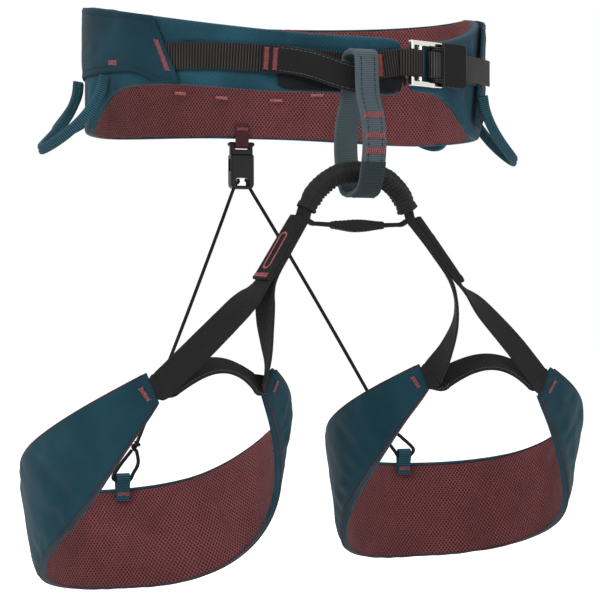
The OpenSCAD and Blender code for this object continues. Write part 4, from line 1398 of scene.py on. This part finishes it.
# ---------------------------------------------------------------- buckles and rear risers

def own_solid(node, material):
    """A part that keeps its CAD solid, in a material of its own."""
    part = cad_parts[node]
    part.data.materials.clear()
    part.data.materials.append(material)
    return part


def hard(node, material, width, segments):
    """A moulded or metal part with its edges broken."""
    bevel = own_solid(node, material).modifiers.new("Broken edges", "BEVEL")
    bevel.width = width
    bevel.segments = segments
    bevel.limit_method = "ANGLE"
    bevel.angle_limit = math.radians(28)
    bevel.harden_normals = False


def rounded(node, material, voxel, rounds, swell):
    """A cast or moulded part, swollen a little and then smoothed until its edges are round."""
    part = own_solid(node, material)
    part.modifiers.new("Closed", "WELD").merge_threshold = WELD
    fuller = part.modifiers.new("Fuller", "DISPLACE")
    fuller.strength = swell
    fuller.mid_level = 0.0
    skin = part.modifiers.new("Skin", "REMESH")
    skin.mode = "VOXEL"
    skin.voxel_size = voxel
    skin.use_smooth_shade = True
    soft = part.modifiers.new("Rounded", "SMOOTH")
    soft.factor = 0.5
    soft.iterations = rounds


rounded("buckle_frame", silver, 0.4 * MM, 8, 0.6 * MM)
hard("buckle_plate", black_metal, 0.9 * MM, 4)
for node in ("riser_plug", "riser_socket"):
    rounded(node, black_plastic, 0.4 * MM, 10, 0.3 * MM)
hard("riser_prongs", black_plastic, 0.3 * MM, 2)

riser_ribbon = strap("riser_tab", FRONT, RIGHT_HIP, 0.1)
riser_web = (burgundy, 1.2 * MM)
webbing("riser_tab_fabric", riser_ribbon, riser_web, "waist", "mesh_liner", ["riser_tab"], depth=0.15)
across_tack("riser_tab_tack", riser_ribbon, 4 * MM, "waist", width=2.8 * MM)

CORD = 2.9 * MM
CORD_SIDES = 12
CORD_SAG = 3 * MM
KNOT_UP = 30 * MM          # from the cord's turn in the tab up to the knot
FOLD_TO_CORD = 4.9 * MM    # from the top of the tab's fold down to the cord in it
CORD_SPLIT = 0.4           # share of the way to the knot where the cord's two bending pieces meet
KNOT_TURNS = 1.3
KNOT_POINTS = 46
KNOT_HALF = 3.6 * MM       # half the length of the wrapped part of the knot
BELOW_KNOT = 4 * MM        # from the knot's middle to where the cord leaves it
LOOP_BOW = 0.55            # share of the way from the knot to the tab where the loop is widest


def cord_run(top, gate, knot, below):
    """The cord's path from its upper end, out through a gate in the buckle and down to below the knot."""
    shares = np.linspace(0, 1, 9)[:, None]
    sag = mix(gate, knot, shares) + FRONT * CORD_SAG * np.sin(math.pi * shares)
    return curve([top, top + np.array([np.sign(gate[0]) * MM, -3 * MM, -2 * MM]), *sag, below], 160)


def knot_wrap(knot, way):
    """The path of the cord's turns round itself at the knot, way pointing up along the cord."""
    turn = np.linspace(0, KNOT_TURNS * 2 * math.pi, KNOT_POINTS)[:, None]
    a, b = frames_along(np.array([knot + way * 5 * MM, knot, knot - way * 5 * MM]))
    path = knot + way * np.linspace(KNOT_HALF, -KNOT_HALF, KNOT_POINTS)[:, None]
    return path + (a[1] * np.cos(turn) + b[1] * np.sin(turn)) * (CORD / 2 + 0.5 * MM)


def cord_loop(below, knot, foot, beside):
    """The cord's path from below the knot, down beside a tab, through its fold and up on the other side."""
    bow = mix(knot, foot, LOOP_BOW)
    sides = [(below, -1.9 * MM, 0), (bow, MM - beside, 0), (foot, -beside, 3 * MM),
             (foot, 2.4 * MM - beside, 0), (foot, 0, 0), (foot, beside - 2.2 * MM, 0),
             (foot, beside + 0.8 * MM, 5 * MM), (bow, beside, MM), (below, 1.9 * MM, 0)]
    return curve([spot + LEFT_HIP * across + UP * rise for spot, across, rise in sides], 110)


def riser_cord(side, tab):
    """An elastic cord from the rear buckle to a knot, then round through a leg loop's rear tab."""
    node = f"riser_cord_{side}"
    leg = f"leg_{side}"
    _, place = welded(node)
    top = place[place[:, 2] > place[:, 2].max() - 1.2 * MM].mean(axis=0)
    foot = tab.middle[int(np.argmax(tab.middle[:, 2]))] - UP * FOLD_TO_CORD
    low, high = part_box("riser_socket")
    gate = np.array([np.sign(foot[0]) * (high[0] - 3 * MM), (low[1] + high[1]) / 2 - 2 * MM, low[2] + MM])
    way = unit(gate - foot)
    knot = foot + way * KNOT_UP
    below = knot - way * BELOW_KNOT
    run = cord_run(top, gate, knot, below)
    loop = cord_loop(below, knot, foot, tab.width.max() / 2 + CORD / 2 + 0.8 * MM)
    wrap = knot_wrap(knot, way)
    split = mix(gate, knot, CORD_SPLIT)
    cut = int(np.argmin(norms(run - split)))
    pieces = []
    for part, line in (("upper", run[:cut + 1]), ("lower", run[cut:]), ("loop", loop), ("knot", wrap)):
        pieces.append(loft(f"{node}_{part}", *tube(line, CORD / 2, CORD_SIDES), cord))
    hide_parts(node)
    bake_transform(pieces[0])
    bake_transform(pieces[1])
    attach(pieces[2], leg)
    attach(pieces[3], leg)


for side, tab in rear_tabs.items():
    riser_cord(side, tab)


# ---------------------------------------------------------------- camera, light and floor

CAMERA_TURN = math.radians(-22)
CAMERA_DISTANCE = 1.7
LENS = 130.8
SENSOR = 36
AIM_RIGHT = 0.0078        # the middle of the picture, from the frame's origin
AIM_DOWN = 0.172
SKY_LIGHT = 0.5           # how brightly the sky lights the object
SKY_SEEN = 1.0            # how bright the background looks
FLOOR_HALF = 6.0
FLOOR_GAP = 12 * MM
right = Vector((math.cos(CAMERA_TURN), math.sin(CAMERA_TURN), 0))
forward = Vector((-math.sin(CAMERA_TURN), math.cos(CAMERA_TURN), 0))
upward = Vector(UP)
target = right * AIM_RIGHT - upward * AIM_DOWN


def aimed(data, place):
    """A camera or a lamp at a place, turned to face the harness."""
    thing = bpy.data.objects.new(data.name, data)
    bpy.context.scene.collection.objects.link(thing)
    thing.location = place
    thing.rotation_euler = (target - thing.location).to_track_quat("-Z", "Y").to_euler()
    return thing


def lamp(name, back, aside, rise, size, power):
    """A soft square light, placed from the harness towards the back, the right and up."""
    data = bpy.data.lights.new(name, "AREA")
    data.size = size
    data.energy = power
    return aimed(data, target + forward * back + right * aside + upward * rise)


camera_data = bpy.data.cameras.new("Camera")
camera_data.lens = LENS
camera_data.sensor_width = SENSOR
bpy.context.scene.camera = aimed(camera_data, target - forward * CAMERA_DISTANCE)
lamps = [
    lamp("key", -1.3, -0.9, 1.2, 0.9, 24),
    lamp("fill", -1.2, 1.3, 0.3, 1.2, 9),
    lamp("top", 0.3, 0.0, 1.6, 1.0, 12),
]

world = bpy.data.worlds.new("Studio")
world.use_nodes = True
sky = Nodes(world.node_tree)
background = world.node_tree.nodes["Background"]
rays = sky.new("LightPath").outputs
seen = sky.math("MAXIMUM", rays["Is Camera Ray"], rays["Is Glossy Ray"])
sky.put(background.inputs["Color"], (1, 1, 1, 1))
sky.put(background.inputs["Strength"], sky.span(seen, 0, 1, SKY_LIGHT, SKY_SEEN))
bpy.context.scene.world = world
bpy.context.scene.view_settings.view_transform = "Standard"

floor_corners = [(x * FLOOR_HALF, y * FLOOR_HALF, cad_box[0][2] - FLOOR_GAP)
                 for x, y in ((-1, -1), (1, -1), (1, 1), (-1, 1))]
paper = paper_look("floor_paper", (0.93, 0.93, 0.93, 1))
new_object("floor", floor_corners, [(0, 1, 2, 3)], None, [paper])
